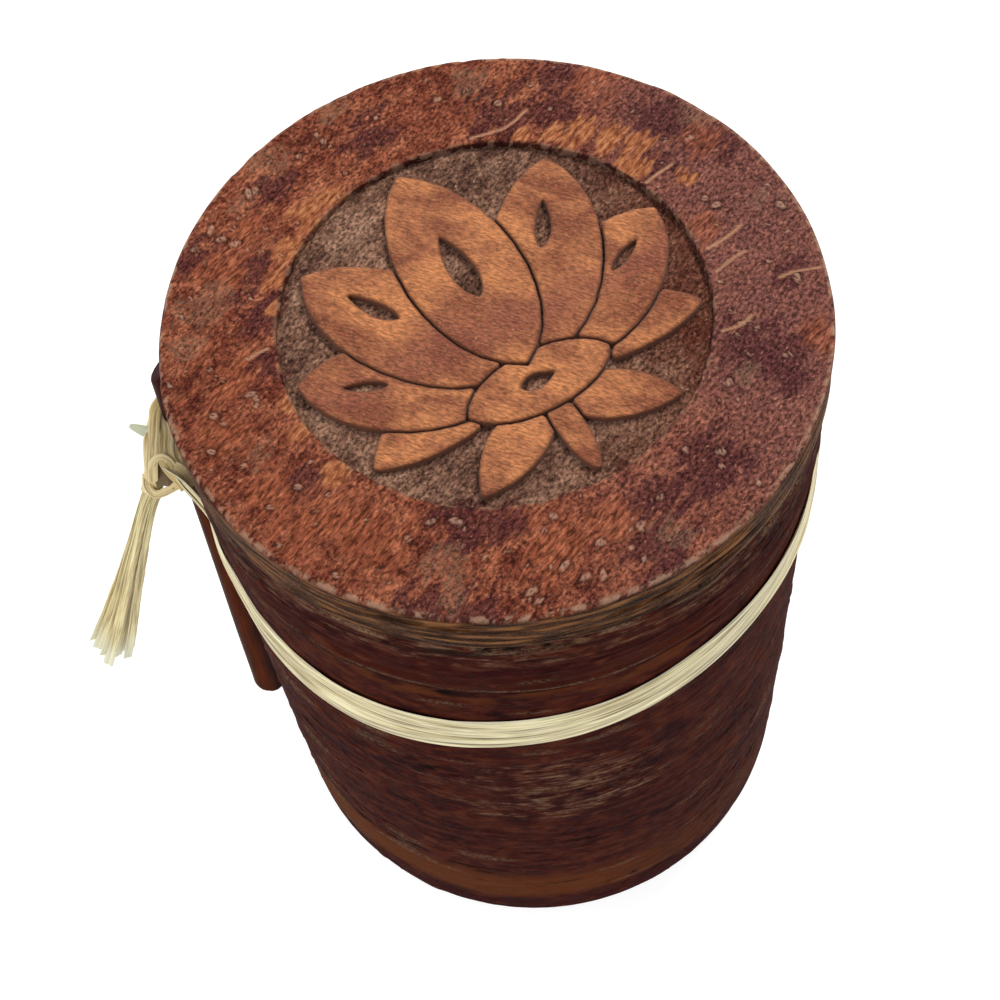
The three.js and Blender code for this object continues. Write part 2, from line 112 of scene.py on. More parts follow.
# Matt white studio paper, which glows a little so that it shows as pure white.
paper = new_material("studio_paper")
shader = add_node(paper, "BsdfPrincipled", {
    "Base Color": linear(0xA6A6A5), "Roughness": 0.9, "Emission Color": linear(0xFFFFFF),
    "Emission Strength": 0.84})
add_node(paper, "OutputMaterial", {"Surface": shader.outputs[0]})
floor_mesh.materials.append(paper)

world = bpy.data.worlds.new("studio")
world.use_nodes = True
world.node_tree.nodes["Background"].inputs["Color"].default_value = linear(0xFBFBFF)
world.node_tree.nodes["Background"].inputs["Strength"].default_value = 0.50
scene.world = world

# Each lamp: its name, place, diameter, power and colour. All of them aim at the middle of the box.
AIM = Vector((0, 0, 0.06))
LAMPS = [
    ("key", (0.42, 0.46, 0.80), 0.34, 6.2, 0xFFF6EA),
    ("fill", (-0.30, -0.80, 0.55), 0.80, 1.5, 0xF6F7FF),
    ("side", (-0.75, 0.05, 0.42), 0.50, 1.6, 0xFFF6E6),
]
for name, place, size, power, colour in LAMPS:
    lamp = bpy.data.objects.new(name, bpy.data.lights.new(name, "AREA"))
    lamp.data.shape = "DISK"
    lamp.data.size = size
    lamp.data.energy = power
    lamp.data.color = linear(colour)[:3]
    lamp.location = place
    lamp.rotation_euler = (Vector(place) - AIM).to_track_quat("Z", "Y").to_euler()
    scene.collection.objects.link(lamp)


# Bark body. A sheet of cinnamon bark, outer side out, bent into a tube and butted at the back. Streaks,
# cracks and crusts of the living bark run round it; its cut edges show the browner inner layers.
BODY_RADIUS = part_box("body_sleeve")[1].x * 1000
SEAM_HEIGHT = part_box("body_sleeve")[1].z * 1000
WALL_GRAIN = 0.5
SEAM_ANGLE = 90
SEAM_HALF = 0.5
SEAM_DEPTH = 1.4

# The tie's slant and the scoop's angle: the bark's relief stays low where they lie on it.
TIE_BELOW_SEAM = 10
TIE_HEIGHT = SEAM_HEIGHT - TIE_BELOW_SEAM
TIE_SLANT = (0.15, 4.4, 3.45)
TIE_BULGES = [(0.8, 304, 26), (-1.35, 230, 20), (0.7, 350, 18)]
TIE_COVER = (4.5, 7)
SCOOP_ANGLE = 173.8
SCOOP_COVER = (11, 17)


def polar(radius, degrees, height):
    """A point in millimetres from its distance to the axis, its angle and its height."""
    angle = math.radians(degrees)
    return np.array([radius * math.cos(angle), radius * math.sin(angle), height])


def eased(value, low, high):
    """A smooth step from 0 to 1 as the value goes from low to high."""
    share = np.clip((value - low) / (high - low), 0, 1)
    return share * share * (3 - 2 * share)


def lattice_noise(points, size, seed):
    """Smooth noise from -1 to 1, with cells of the given size in millimetres."""
    places = np.asarray(points, float) / np.asarray(size, float)
    cell = np.floor(places).astype(np.int64)
    part = places - cell
    part = part * part * (3 - 2 * part)
    total = np.zeros(len(places))
    for corner in itertools.product((0, 1), repeat=3):
        code = ((cell + corner) * (73856093, 19349663, 83492791)).sum(1) + seed * 2654435761
        code = (code ^ (code >> 13)) * 1274126177
        code = (code ^ (code >> 16)) * 668265263
        value = ((code ^ (code >> 15)) & 0xFFFF) / 32767.5 - 1
        total += value * np.where(corner, part, 1 - part).prod(1)
    return total


def turn_between(degrees, place):
    """The angle from a place to each of the given angles, the short way round."""
    return np.abs((degrees - place + 540) % 360 - 180)


def add_marks(mesh, marks):
    """Stores the numbers or vectors that a material reads at each point of the mesh."""
    for mark, values in marks.items():
        values = np.asarray(values, np.float32)
        kind, slot = ("FLOAT", "value") if values.ndim == 1 else ("FLOAT_VECTOR", "vector")
        mesh.attributes.new(mark, kind, "POINT").data.foreach_set(slot, values.ravel())


def make_piece(name, points, faces, body, material, marks=None):
    """A smooth piece that rides on its body, with the marks that its material reads at each point."""
    mesh = bpy.data.meshes.new(name)
    mesh.from_pydata((np.asarray(points) / 1000).tolist(), [], faces)
    add_marks(mesh, marks or {})
    mesh.shade_smooth()
    mesh.materials.append(material)
    piece = bpy.data.objects.new(name, mesh)
    scene.collection.objects.link(piece)
    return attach(piece, body)


def turned(profile, spacing):
    """Points, faces, normals and angles of a profile turned about the Z axis, finer at the seam."""
    profile = np.asarray(profile, float)
    count = int(round(2 * np.pi * profile[:, 0].max() / spacing))
    at_seam = SEAM_ANGLE + np.degrees(np.array([-1.6, -1, -0.5, 0, 0.5, 1, 1.6]) * SEAM_HALF / BODY_RADIUS)
    degrees = np.linspace(0, 360, count, endpoint=False)
    reach = 1.6 * np.degrees(2 * SEAM_HALF / BODY_RADIUS)
    degrees = np.sort(np.concatenate([degrees[np.abs(degrees - SEAM_ANGLE) > reach * 0.75], at_seam]))
    angle = np.radians(degrees)
    around, along = np.meshgrid(angle, np.arange(len(profile)), indexing="ij")
    radius, height = profile[along, 0], profile[along, 1]
    points = np.stack([radius * np.cos(around), radius * np.sin(around), height], -1).reshape(-1, 3)
    tangent = np.roll(profile, -1, 0) - np.roll(profile, 1, 0)
    normal = np.stack([tangent[:, 1], -tangent[:, 0]], 1)
    normal /= np.linalg.norm(normal, axis=1)[:, None]
    outwards, upwards = normal[along, 0], normal[along, 1]
    normals = np.stack([outwards * np.cos(around), outwards * np.sin(around), upwards], -1)
    step, place = np.meshgrid(np.arange(len(angle)), np.arange(len(profile)), indexing="ij")
    after, above = (step + 1) % len(angle), (place + 1) % len(profile)
    size = len(profile)
    faces = np.stack([
        step * size + place, after * size + place, after * size + above, step * size + above], -1)
    return points, faces.reshape(-1, 4).tolist(), normals.reshape(-1, 3), np.degrees(around).ravel()


def stretch(start, end, spacing):
    """Evenly spaced (radius, height) places from one corner to just before the next."""
    start, end = np.asarray(start, float), np.asarray(end, float)
    count = max(int(round(np.linalg.norm(end - start) / spacing)), 1)
    return start + (end - start) * np.arange(count)[:, None] / count


def outline(corners, spacings):
    """A closed profile through the corners, each side with its own spacing."""
    pairs = zip(corners, corners[1:] + corners[:1], spacings)
    return np.vstack([stretch(start, end, spacing) for start, end, spacing in pairs])


def humps(degrees, places):
    """The sum of soft humps round the box, each with its height, angle and reach."""
    return sum(height * np.exp(-(turn_between(degrees, place) / reach) ** 2)
               for height, place, reach in places)


def tie_middle(degrees):
    """Height of the middle of the tie, which was wound a little aslant."""
    angle = np.radians(degrees)
    level, right, back = TIE_SLANT
    return TIE_HEIGHT + level + right * np.cos(angle) + back * np.sin(angle) + humps(degrees, TIE_BULGES)


def near_scoop(degrees):
    """How near the scoop is: 1 where it lies on the bark, 0 a little way off."""
    return 1 - eased(turn_between(degrees, SCOOP_ANGLE), *SCOOP_COVER)


def seam_groove(points, degrees, radius):
    """Depth of the butt seam at the back, where the two edges of the sheet meet."""
    distance = np.abs(np.radians(degrees - SEAM_ANGLE)) * radius
    wander = 0.12 * lattice_noise(points, (50, 50, 4), 61)
    return -SEAM_DEPTH * np.clip(1 - (distance + wander) / SEAM_HALF, 0, 1)


def bark_relief(points, seed):
    """Outer bark of a bent sheet: relief in millimetres, and masks of its crust, cracks and warts."""
    streak = 0.6 * lattice_noise(points, (8, 8, 1.1), seed)
    streak += 0.4 * lattice_noise(points, (3.5, 3.5, 0.6), seed + 1)
    crust = eased(lattice_noise(points, (11, 11, 2.6), seed + 2) + 0.6 * streak, 0.5, 0.8)
    line = lattice_noise(points, (20, 20, 2.4), seed + 3)
    line += 0.25 * lattice_noise(points, (4, 4, 1), seed + 4)
    crack = 1 - eased(np.abs(line), 0.015, 0.06)
    crack *= eased(lattice_noise(points, (14, 14, 5), seed + 5), 0.05, 0.4)
    fine = lattice_noise(points, (1.7, 1.7, 0.55), seed + 6)
    pits = eased(lattice_noise(points, (2.6, 2.6, 1.6), seed + 7), 0.62, 0.8)
    swell = 0.22 * lattice_noise(points, (26, 26, 34), seed + 8)
    relief = swell + 0.09 * streak + 0.05 * fine + crust * (0.08 + 0.10 * fine)
    return relief - 0.16 * crack + 0.14 * pits, crust, crack, pits


def held_back(relief, points, degrees):
    """Keeps the bark's relief low where the tie and the scoop lie on it."""
    under_tie = 1 - eased(np.abs(points[:, 2] - tie_middle(degrees)), *TIE_COVER)
    return np.minimum(relief, 0.9 - 0.85 * np.maximum(under_tie, near_scoop(degrees)))


# Cinnamon bark, raw and only brushed: dry, nearly matt and deep maroon, streaked red and olive round the
# tube, with grey-brown scuffs of cork. Cracks are nearly black; the same dark colour is painted shade in the
# back seam's groove. Cut edges are a plain brown. Real cork grains are 0.2 mm across; they are drawn at
# 0.5 mm, as fine as shows.
def bark_material(name, deep, red, warm, crust, cut):
    material = new_material(name)
    place = add_node(material, "TexCoord").outputs["Object"]
    masks = {mark: add_node(material, "Attribute", attribute_name=mark).outputs["Fac"]
             for mark in ("crust", "crack", "wart", "cut", "warm", "scuff", "dark")}
    layers = {}
    for layer, size, detail in (("cloud", (0.012, 0.012, 0.009), 4.0),
                                ("mottle", (0.0030, 0.0030, 0.0019), 5.0),
                                ("streak", (0.0042, 0.0042, 0.00062), 4.0),
                                ("fibre", (0.0009, 0.0009, 0.00048), 3.0),
                                ("grit", (0.0005, 0.0005, 0.0004), 3.0)):
        scaled = add_node(material, "Mapping", {"Vector": place, "Scale": size}, vector_type="TEXTURE")
        noise = add_node(material, "TexNoise", {
            "Vector": scaled.outputs[0], "Scale": 1.0, "Detail": detail, "Roughness": 0.62})
        layers[layer] = noise.outputs["Fac"]
    ground = add_node(material, "ValToRGB", {"Fac": layers["cloud"]}, stops=[
        (0.38, linear(deep)), (0.64, linear(warm)), (0.51, linear(red))])
    mottled = add_node(material, "ValToRGB", {"Fac": layers["mottle"]}, stops=[
        (0.41, linear(deep)), (0.62, linear(warm)), (0.52, linear(red))])
    base = add_node(material, "Mix", {0: 0.62, 6: ground.outputs[0], 7: mottled.outputs[0]},
                    data_type="RGBA")
    warmed = add_node(material, "Mix", {0: masks["warm"], 6: base.outputs[2], 7: linear(0x623315)},
                      data_type="RGBA")
    dulled = add_node(material, "Mix", {0: masks["dark"], 6: warmed.outputs[2], 7: linear(0x340F0F)},
                      data_type="RGBA")
    blend = add_node(material, "Mix", {0: 0.32, 2: layers["fibre"], 3: layers["streak"]})
    shade = add_node(material, "MapRange", {"Value": blend.outputs[0], "From Min": 0.38, "From Max": 0.62,
                                            "To Min": 0.80, "To Max": 1.22})
    lined = add_node(material, "VectorMath", {0: dulled.outputs[2], "Scale": shade.outputs[0]},
                     operation="SCALE")
    spread = add_node(material, "MapRange", {"Value": layers["grit"], "From Min": 0.40, "From Max": 0.60,
                                             "To Max": 0.85})
    crusted = add_node(material, "Math", {0: masks["crust"], 1: spread.outputs[0]}, operation="MULTIPLY")
    grey = add_node(material, "Mix", {0: crusted.outputs[0], 6: lined.outputs[0], 7: linear(crust)},
                    data_type="RGBA")
    hatch = add_node(material, "MapRange", {"Value": layers["streak"], "From Min": 0.46, "From Max": 0.62})
    broken = add_node(material, "MapRange", {"Value": layers["mottle"], "From Min": 0.44, "From Max": 0.62,
                                             "To Max": 0.85})
    dashes = add_node(material, "Math", {0: hatch.outputs[0], 1: broken.outputs[0]}, operation="MULTIPLY")
    scratched = add_node(material, "Math", {0: masks["scuff"], 1: dashes.outputs[0]}, operation="MULTIPLY")
    scuffed = add_node(material, "Mix", {0: scratched.outputs[0], 6: grey.outputs[2], 7: linear(0x80664F)},
                       data_type="RGBA")
    tipped = add_node(material, "Mix", {0: masks["wart"], 6: scuffed.outputs[2], 7: linear(warm)},
                      data_type="RGBA")
    cracked = add_node(material, "Mix", {0: masks["crack"], 6: tipped.outputs[2], 7: linear(0x140806)},
                       data_type="RGBA")
    edged = add_node(material, "Mix", {0: masks["cut"], 6: cracked.outputs[2], 7: linear(cut)},
                     data_type="RGBA")
    height = add_node(material, "Math", {0: blend.outputs[0], 1: layers["grit"]}, operation="ADD")
    relief = add_node(material, "Bump", {"Height": height.outputs[0], "Strength": 0.8, "Distance": 0.0002})
    rough = add_node(material, "MapRange", {"Value": layers["fibre"], "From Min": 0.35, "From Max": 0.65,
                                            "To Min": 0.55, "To Max": 0.80})
    shader = add_node(material, "BsdfPrincipled", {
        "Base Color": edged.outputs[2], "Roughness": rough.outputs[0], "Specular IOR Level": 0.01,
        "Normal": relief.outputs[0]})
    add_node(material, "OutputMaterial", {"Surface": shader.outputs[0]})
    return material


wall_finish = bark_material("cinnamon_bark_wall", 0x230B0A, 0x3E1610, 0x4F2516, 0x76604A, 0x5E3A22)

BORE_RADIUS = 37.2
FOOT_ROUNDING = 3.0
SEAM_CHAMFER = 0.35

# Heights between which the warm zone below the seam, the warm band above the foot and the dark foot come
# and go, and the patch that handling has rubbed.
BELOW_SEAM = (SEAM_HEIGHT - 5, SEAM_HEIGHT - 2.5)
FOOT_BAND = (7, 11, 16, 23)
DARK_FOOT = (5, 8.5)
RUBBED_PLACE = polar(BODY_RADIUS, 272, 57)
RUBBED_REACH = (17, 30, 12)

foot = [(BODY_RADIUS - FOOT_ROUNDING * (1 - math.sin(a)), FOOT_ROUNDING * (1 - math.cos(a)))
        for a in np.radians(np.arange(0, 90, 10))]
sleeve_corners = [
    (BORE_RADIUS, 0.0), *foot, (BODY_RADIUS, FOOT_ROUNDING), (BODY_RADIUS, SEAM_HEIGHT - SEAM_CHAMFER),
    (BODY_RADIUS - SEAM_CHAMFER, SEAM_HEIGHT), (BORE_RADIUS, SEAM_HEIGHT)]
sleeve_steps = [2.0] + [1.0] * len(foot) + [WALL_GRAIN, 0.3, 0.7, 20.0]
points, faces, normals, degrees = turned(outline(sleeve_corners, sleeve_steps), WALL_GRAIN)
relief, crust, crack, wart = bark_relief(points, 100)
radius = np.hypot(points[:, 0], points[:, 1])
outside = eased(radius, BODY_RADIUS - 2.5, BODY_RADIUS - 1.0)
relief = held_back(relief, points, degrees) * outside * eased(points[:, 2], 0.0, 1.5)
relief += seam_groove(points, degrees, BODY_RADIUS) * eased(radius, BORE_RADIUS + 1.5, BORE_RADIUS + 2.6)
low = points[:, 2] + 1.6 * lattice_noise(points, (12, 12, 4), 131)
below_seam = 0.5 * eased(points[:, 2], *BELOW_SEAM)
below_seam *= eased(lattice_noise(points, (3.5, 3.5, 1.2), 133), -0.2, 0.5)
rubbed = np.linalg.norm((points - RUBBED_PLACE) / RUBBED_REACH, axis=1)
rubbed += 0.5 * lattice_noise(points, (7, 7, 2), 132)
joint = 0.85 * outside * eased(points[:, 2], SEAM_HEIGHT - 0.5, SEAM_HEIGHT - 0.2)
# Painted shade: the seam's groove is darkened through the crack mask, along with the cracks.
seam_shadow = eased(-seam_groove(points, degrees, BODY_RADIUS), 0.3, 1.0)
crack = np.maximum.reduce([crack * outside, seam_shadow, joint])
foot_glow = 1 - 0.7 * eased(points[:, 0] + 5 * lattice_noise(points, (9, 9, 9), 134), 2, 30)
foot_band = 0.7 * foot_glow * eased(low, *FOOT_BAND[:2]) * (1 - eased(low, *FOOT_BAND[2:]))
marks = {"crust": 0.55 * crust * outside, "wart": wart * outside, "cut": 1 - outside, "crack": crack,
         "warm": foot_band + below_seam,
         "scuff": 1 - eased(rubbed, 0.5, 1.1),
         "dark": 0.8 * (1 - eased(low, *DARK_FOOT))}
sleeve = make_piece("bark_body", points + normals * relief[:, None], faces, "container", wall_finish, marks)
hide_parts("body_sleeve")

# Liner and bottom. The liner is a thin sheet of inner bark bent into a tube, whose neck guides the lid; the
# bottom is a flat disc. Both show the smooth inner side of the bark, with its grain running up the tube.
INSERT_RADIUS = 36.9
LINER_BORE = 35.3
BASE_THICKNESS = 4.0
LINER_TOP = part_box("inner_liner")[1].z * 1000
MOUTH_ROUNDING = 0.5
LINER_SEAM = 250

# A turned disc keeps a pinhole at its middle, so that none of its faces has zero width there.
AXIS_HOLE = 0.05


# Inner side of cinnamon bark, peeled and smooth: satin, orange-brown, with long fine lines up the tube.
# Real lines are 0.2 mm apart; they are drawn at 0.7 mm, so that they show.
def inner_material():
    material = new_material("cinnamon_inner_bark")
    place = add_node(material, "TexCoord").outputs["Object"]
    layers = {}
    for layer, size in (("cloud", (0.012, 0.012, 0.03)), ("line", (0.0007, 0.0007, 0.02)),
                        ("grit", (0.0004, 0.0004, 0.0012))):
        scaled = add_node(material, "Mapping", {"Vector": place, "Scale": size}, vector_type="TEXTURE")
        noise = add_node(material, "TexNoise", {
            "Vector": scaled.outputs[0], "Scale": 1.0, "Detail": 3.0})
        layers[layer] = noise.outputs["Fac"]
    cloud = add_node(material, "ValToRGB", {"Fac": layers["cloud"]}, stops=[
        (0.36, linear(0x7A4226)), (0.66, linear(0xA66A41)), (0.5, linear(0x925534))])
    shade = add_node(material, "MapRange", {"Value": layers["line"], "From Min": 0.3, "From Max": 0.7,
                                            "To Min": 0.68, "To Max": 1.2})
    lined = add_node(material, "VectorMath", {0: cloud.outputs[0], "Scale": shade.outputs[0]},
                     operation="SCALE")
    height = add_node(material, "Math", {0: layers["line"], 1: layers["grit"]}, operation="ADD")
    relief = add_node(material, "Bump", {"Height": height.outputs[0], "Strength": 0.5, "Distance": 0.0001})
    shader = add_node(material, "BsdfPrincipled", {
        "Base Color": lined.outputs[0], "Roughness": 0.6, "Specular IOR Level": 0.1,
        "Normal": relief.outputs[0]})
    add_node(material, "OutputMaterial", {"Surface": shader.outputs[0]})
    return material


inner_finish = inner_material()
mouth = [(INSERT_RADIUS - MOUTH_ROUNDING * (1 - math.cos(a)), LINER_TOP - MOUTH_ROUNDING * (1 - math.sin(a)))
         for a in np.radians(np.arange(0, 90, 22.5))]
liner_corners = [(LINER_BORE, BASE_THICKNESS), (INSERT_RADIUS, BASE_THICKNESS), *mouth,
                 (INSERT_RADIUS - MOUTH_ROUNDING, LINER_TOP), (LINER_BORE, LINER_TOP)]
liner_steps = [2.0, 1.0] + [0.3] * len(mouth) + [0.5, 1.0]
points, faces, normals, degrees = turned(outline(liner_corners, liner_steps), 0.9)
seam_gap = np.radians(turn_between(degrees, LINER_SEAM)) * INSERT_RADIUS
relief = 0.08 * lattice_noise(points, (5, 5, 50), 501) - 0.7 * (1 - eased(seam_gap, 0.15, 0.7))
liner = make_piece("bark_liner", points + normals * relief[:, None], faces, "container", inner_finish)
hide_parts("inner_liner")

base_corners = [
    (AXIS_HOLE, 0.0), (INSERT_RADIUS, 0.0), (INSERT_RADIUS, BASE_THICKNESS), (AXIS_HOLE, BASE_THICKNESS)]
base_steps = [1.2, 1.3, 1.2, 9.0]
points, faces, normals, degrees = turned(outline(base_corners, base_steps), 1.2)
relief = 0.05 * lattice_noise(points, (3, 3, 3), 511) * eased(points[:, 2], 1, 3)
base = make_piece("bark_bottom", points + normals * relief[:, None], faces, "container", inner_finish)
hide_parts("base_disc")

# Lid skirt. The upper end of the same bark tube, sawn off to make the lid's side. It rests on the body in
# a fine dark joint, and its bark is split and crusted towards the top.
GROUND_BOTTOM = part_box("lid_ground_disc")[0].z * 1000
LID_RING_RADIUS = 41.4

# Heights between which the warm zone above the seam fades, and the split bark, the scuffed upper bark and
# its crust begin.
ABOVE_SEAM = (97.5, 101)
SPLIT_BARK = (99, 102)
UPPER_BARK = (101, 105)
UPPER_CRUST = (105.8, 107.4)

skirt_corners = [(BORE_RADIUS, SEAM_HEIGHT), (LID_RING_RADIUS - SEAM_CHAMFER, SEAM_HEIGHT),
                 (LID_RING_RADIUS, SEAM_HEIGHT + SEAM_CHAMFER), (LID_RING_RADIUS, GROUND_BOTTOM),
                 (BORE_RADIUS, GROUND_BOTTOM)]
skirt_steps = [0.7, 0.3, 0.4, 4.0, 7.0]
points, faces, normals, degrees = turned(outline(skirt_corners, skirt_steps), 0.45)
relief, crust, crack, wart = bark_relief(points, 100)
radius = np.hypot(points[:, 0], points[:, 1])
outside = eased(radius, LID_RING_RADIUS - 1.6, LID_RING_RADIUS - 0.7)
relief = held_back(relief, points, degrees) * outside
relief += seam_groove(points, degrees, BODY_RADIUS) * eased(radius, BORE_RADIUS + 1.5, BORE_RADIUS + 2.6)
upper_crust = eased(points[:, 2] + 1.2 * lattice_noise(points, (8, 8, 3), 141), *UPPER_CRUST)
upper_crust *= eased(lattice_noise(points, (5, 5, 1.6), 142), 0.0, 0.5)
layers = lattice_noise(points, (9, 9, 0.75), 145)
split_line = eased(layers, 0.35, 0.6) * eased(points[:, 2], *SPLIT_BARK)
relief += outside * (0.16 * layers - 0.10 * split_line)
crust = np.maximum(crust * 0.5, upper_crust)
relief += 0.18 * upper_crust * outside * (0.6 + 0.6 * lattice_noise(points, (1.4, 1.4, 0.8), 143))
above_seam = 1 - eased(points[:, 2] + 1.5 * lattice_noise(points, (9, 9, 3), 144), *ABOVE_SEAM)
upper = eased(points[:, 2] + 1.5 * lattice_noise(points, (9, 9, 3), 146), *UPPER_BARK)
joint = 0.85 * (1 - eased(points[:, 2], SEAM_HEIGHT + 0.2, SEAM_HEIGHT + 0.5))
rubbed_edge = eased(points[:, 2], SEAM_HEIGHT + 0.4, SEAM_HEIGHT + 0.6)
rubbed_edge *= 1 - eased(points[:, 2], SEAM_HEIGHT + 0.9, SEAM_HEIGHT + 1.2)
rubbed_edge *= eased(lattice_noise(points * (1, 1, 0), (6, 6, 6), 147), -0.4, 0.3)
crust = np.maximum(crust, 0.8 * rubbed_edge)
# Painted shade: the seam's groove is darkened through the crack mask, along with the cracks.
seam_shadow = eased(-seam_groove(points, degrees, BODY_RADIUS), 0.3, 1.0)
crack = np.maximum(crack, 0.8 * split_line) * outside
crack = np.maximum.reduce([crack, joint * outside, seam_shadow])
marks = {"crust": crust * outside, "wart": wart * outside, "cut": 1 - outside, "crack": crack,
         "warm": 0.25 * above_seam, "scuff": 0.7 * upper, "dark": 0.5 * (1 - upper)}
skirt = make_piece("bark_lid_skirt", points + normals * relief[:, None], faces, "lid", wall_finish, marks)
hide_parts("lid_ring")

# Lid disc and face ring. Two flat layers of thick bark glued into the lid's top; the upper one has the round
# window. Their sawn edge shows the layers, and the face keeps its natural outer skin with warts, chips and
# lichen.
LID_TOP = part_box("lid_field_ring")[1].z * 1000
LID_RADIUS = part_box("lid_field_ring")[1].x * 1000
FIELD_BOTTOM = 114.4
GROUND_FACE = FIELD_BOTTOM + 0.55
WINDOW_RADIUS = 26.8
RIM_ROUNDING = 0.8
WINDOW_EDGE = 0.35
LAYER_GAPS = (110.3, 112.3, 113.9)
FACE_GRAIN = 0.28
FIBRE_ANGLE = 48

# Patches of the lid's skin: the middle of each from the box's axis, and its radius.
LID_PLACES = {
    "lichen": [
        (-36.2, 5.5, 3.2), (-38.1, 0.5, 2.4), (-34.2, 8.2, 2.2), (-26.8, 27.9, 2.6), (-30.2, 21.8, 2.0),
        (-8.9, -33.9, 3.2), (-8.1, -37.8, 1.8), (35, 12.7, 1.6), (17.6, -33, 2.2), (-18.6, 36.1, 2.8),
        (0.2, 37, 3.0), (29.4, 27.2, 2.6), (29.3, -12.8, 1.6), (-29.8, -16.2, 2.0), (37.4, 11.9, 1.3)],
    "flake": [
        (-18.5, 20.4, 2.4), (-21.9, 18.0, 3.2), (-24.9, 13.4, 3.2), (-26.4, 9, 2.4), (-26.6, 4.6, 1.6),
        (6.5, 27.4, 1.6), (10.4, 27.6, 2.0), (14.6, 26.2, 3.0), (17.6, 24.8, 3.4), (20.6, 24.2, 2.6),
        (19.8, 20.4, 2.2), (-26.4, -3.2, 1.4), (-25.4, -9.1, 1.6), (-24.2, -13.4, 1.6),
        (-20.4, -19.8, 2.2), (26.4, 17.6, 1.4)],
    "purple": [
        (-25.7, 23.3, 3.2), (-28.6, 12.4, 3.2), (-28.6, 4.4, 3.4), (-27.5, -3.6, 2.6),
        (-23.6, -20.8, 3.4), (3.6, 31.2, 4.6), (11, 31.6, 4.2), (22.0, 20.4, 3.4), (25.0, 27.0, 4.2),
        (32.5, -10.2, 5.4), (33.4, -13.3, 3.4), (-6.4, -28.4, 4.0), (-1.3, -28.7, 2.8),
        (-11.9, -38.9, 3.6), (-5.4, -39.9, 3.2), (16.2, -27.9, 4.4), (22.9, -24.5, 4.6),
        (16.1, -35.4, 4.0), (12.1, 37.3, 3.6), (31.7, 22.8, 3.6), (-36, 14, 3.4), (36.6, 1.4, 3.0),
        (-14, 31, 4)],
    "fibrous": [
        (-30.7, 15.4, 3.4), (-33.3, 11.6, 3.6), (-32.6, -4.9, 4.4), (-23.6, -25.9, 5.0),
        (-17.1, -29.1, 5.6), (-27.9, -21.9, 3.6), (16.3, 35.6, 3.6), (29.2, 23.6, 3.4), (38.6, -9.2, 2.6),
        (3.8, -33.1, 4.6), (-34, -13, 3.6), (27, 9, 2.6), (11, -30, 3.4)],
}

# Scratches, each through three places, and the middles of the large warts.
SCRATCHES = [
    ((-0.3, 27.8), (4.3, 28.9), (7.4, 31.5)), ((27.3, 6.1), (29.8, 7.4), (32, 9.1)),
    ((27.9, 2.5), (29.8, 3.9), (31.7, 5)), ((35.4, 0.5), (37.6, 1.1), (40.3, 1.2)),
    ((21.2, 17.4), (22.8, 18.6), (24.8, 19.9)), ((27.2, -6.3), (29.4, -5.8), (31.1, -4.6)),
    ((-22.8, -13.6), (-21.6, -12.9), (-20.6, -12.4)), ((-30, -2.2), (-29, -1.6), (-27.9, -1.2))]
BIG_WARTS = [
    (-29.5, 23.0), (-28.6, 23.3), (-34.5, 17.9), (-33.2, 16.2), (-31.5, 15.3), (-36.7, 15.2),
    (-20.3, 31.4), (-19.5, 30.3), (-22.8, 28.2), (-30.2, -7.5), (-29.5, -8.2), (-34.7, -10.0),
    (-33.5, -11.3), (-35.2, -14.9), (-28.4, -23.4), (-25.0, -21.1), (-12.7, -29.6), (-9.9, -27.7),
    (-7.0, -28.1), (4.7, -35.4), (6.9, -37.1), (4.2, -28.9), (9.1, -33.0), (13.8, -35.8), (13.9, -31.3),
    (28.2, 13.9), (29.4, 12.6), (37.4, 11.4), (37.4, 0.1), (24.6, -23.0), (16.6, -28.0), (20.4, -22.2),
    (1.4, -39.4), (0.7, -38.1), (8.9, -37.1), (-4.0, 35.0), (3.8, 33.1), (26.9, -13.7), (29.7, -5.6)]

# Small warts are strewn by chance between these distances from the axis.
SMALL_WARTS = 90
WARTS_BETWEEN = (27.5, 40.5)


def smoothed(points, spacing):
    """Evenly spaced places on a smooth curve through the points."""
    points = np.asarray(points, float)
    padded = np.vstack([2 * points[0] - points[1], points, 2 * points[-1] - points[-2]])
    share = np.linspace(0, 1, 12, endpoint=False)[:, None]
    fine = []
    for before, start, end, after in zip(padded, padded[1:], padded[2:], padded[3:]):
        bend = 2 * before - 5 * start + 4 * end - after
        twist = 3 * start - before - 3 * end + after
        fine.append(start + 0.5 * ((end - before) * share + bend * share ** 2 + twist * share ** 3))
    fine = np.vstack(fine + [points[-1:]])
    along = np.concatenate([[0], np.cumsum(np.linalg.norm(np.diff(fine, axis=0), axis=1))])
    places = np.linspace(0, along[-1], max(int(round(along[-1] / spacing)), 2) + 1)
    return np.stack([np.interp(places, along, fine[:, axis]) for axis in range(3)], 1)


def along_fibre(points, degrees=FIBRE_ANGLE):
    """The same points with X along the fibres of the lid's bark."""
    angle = math.radians(degrees)
    x = points[:, 0] * math.cos(angle) + points[:, 1] * math.sin(angle)
    y = points[:, 1] * math.cos(angle) - points[:, 0] * math.sin(angle)
    return np.stack([x, y, points[:, 2]], 1)


def patches(points, places, ragged, seed, long=1.0):
    """A mask of patches at the given places (x, y, radius), with edges as ragged as torn fibre."""
    turned_points = along_fibre(points)
    edge = ragged * (0.7 * lattice_noise(turned_points, (2.6 * long, 1.0, 3), seed)
                     + 0.8 * lattice_noise(turned_points, (1.3 * long, 0.40, 3), seed + 1))
    nearest = np.full(len(points), -9.0)
    for x, y, size in places:
        distance = np.hypot(points[:, 0] - x, points[:, 1] - y)
        nearest = np.maximum(nearest, 1 - distance / size)
    return eased(nearest + edge, 0.0, 0.35)


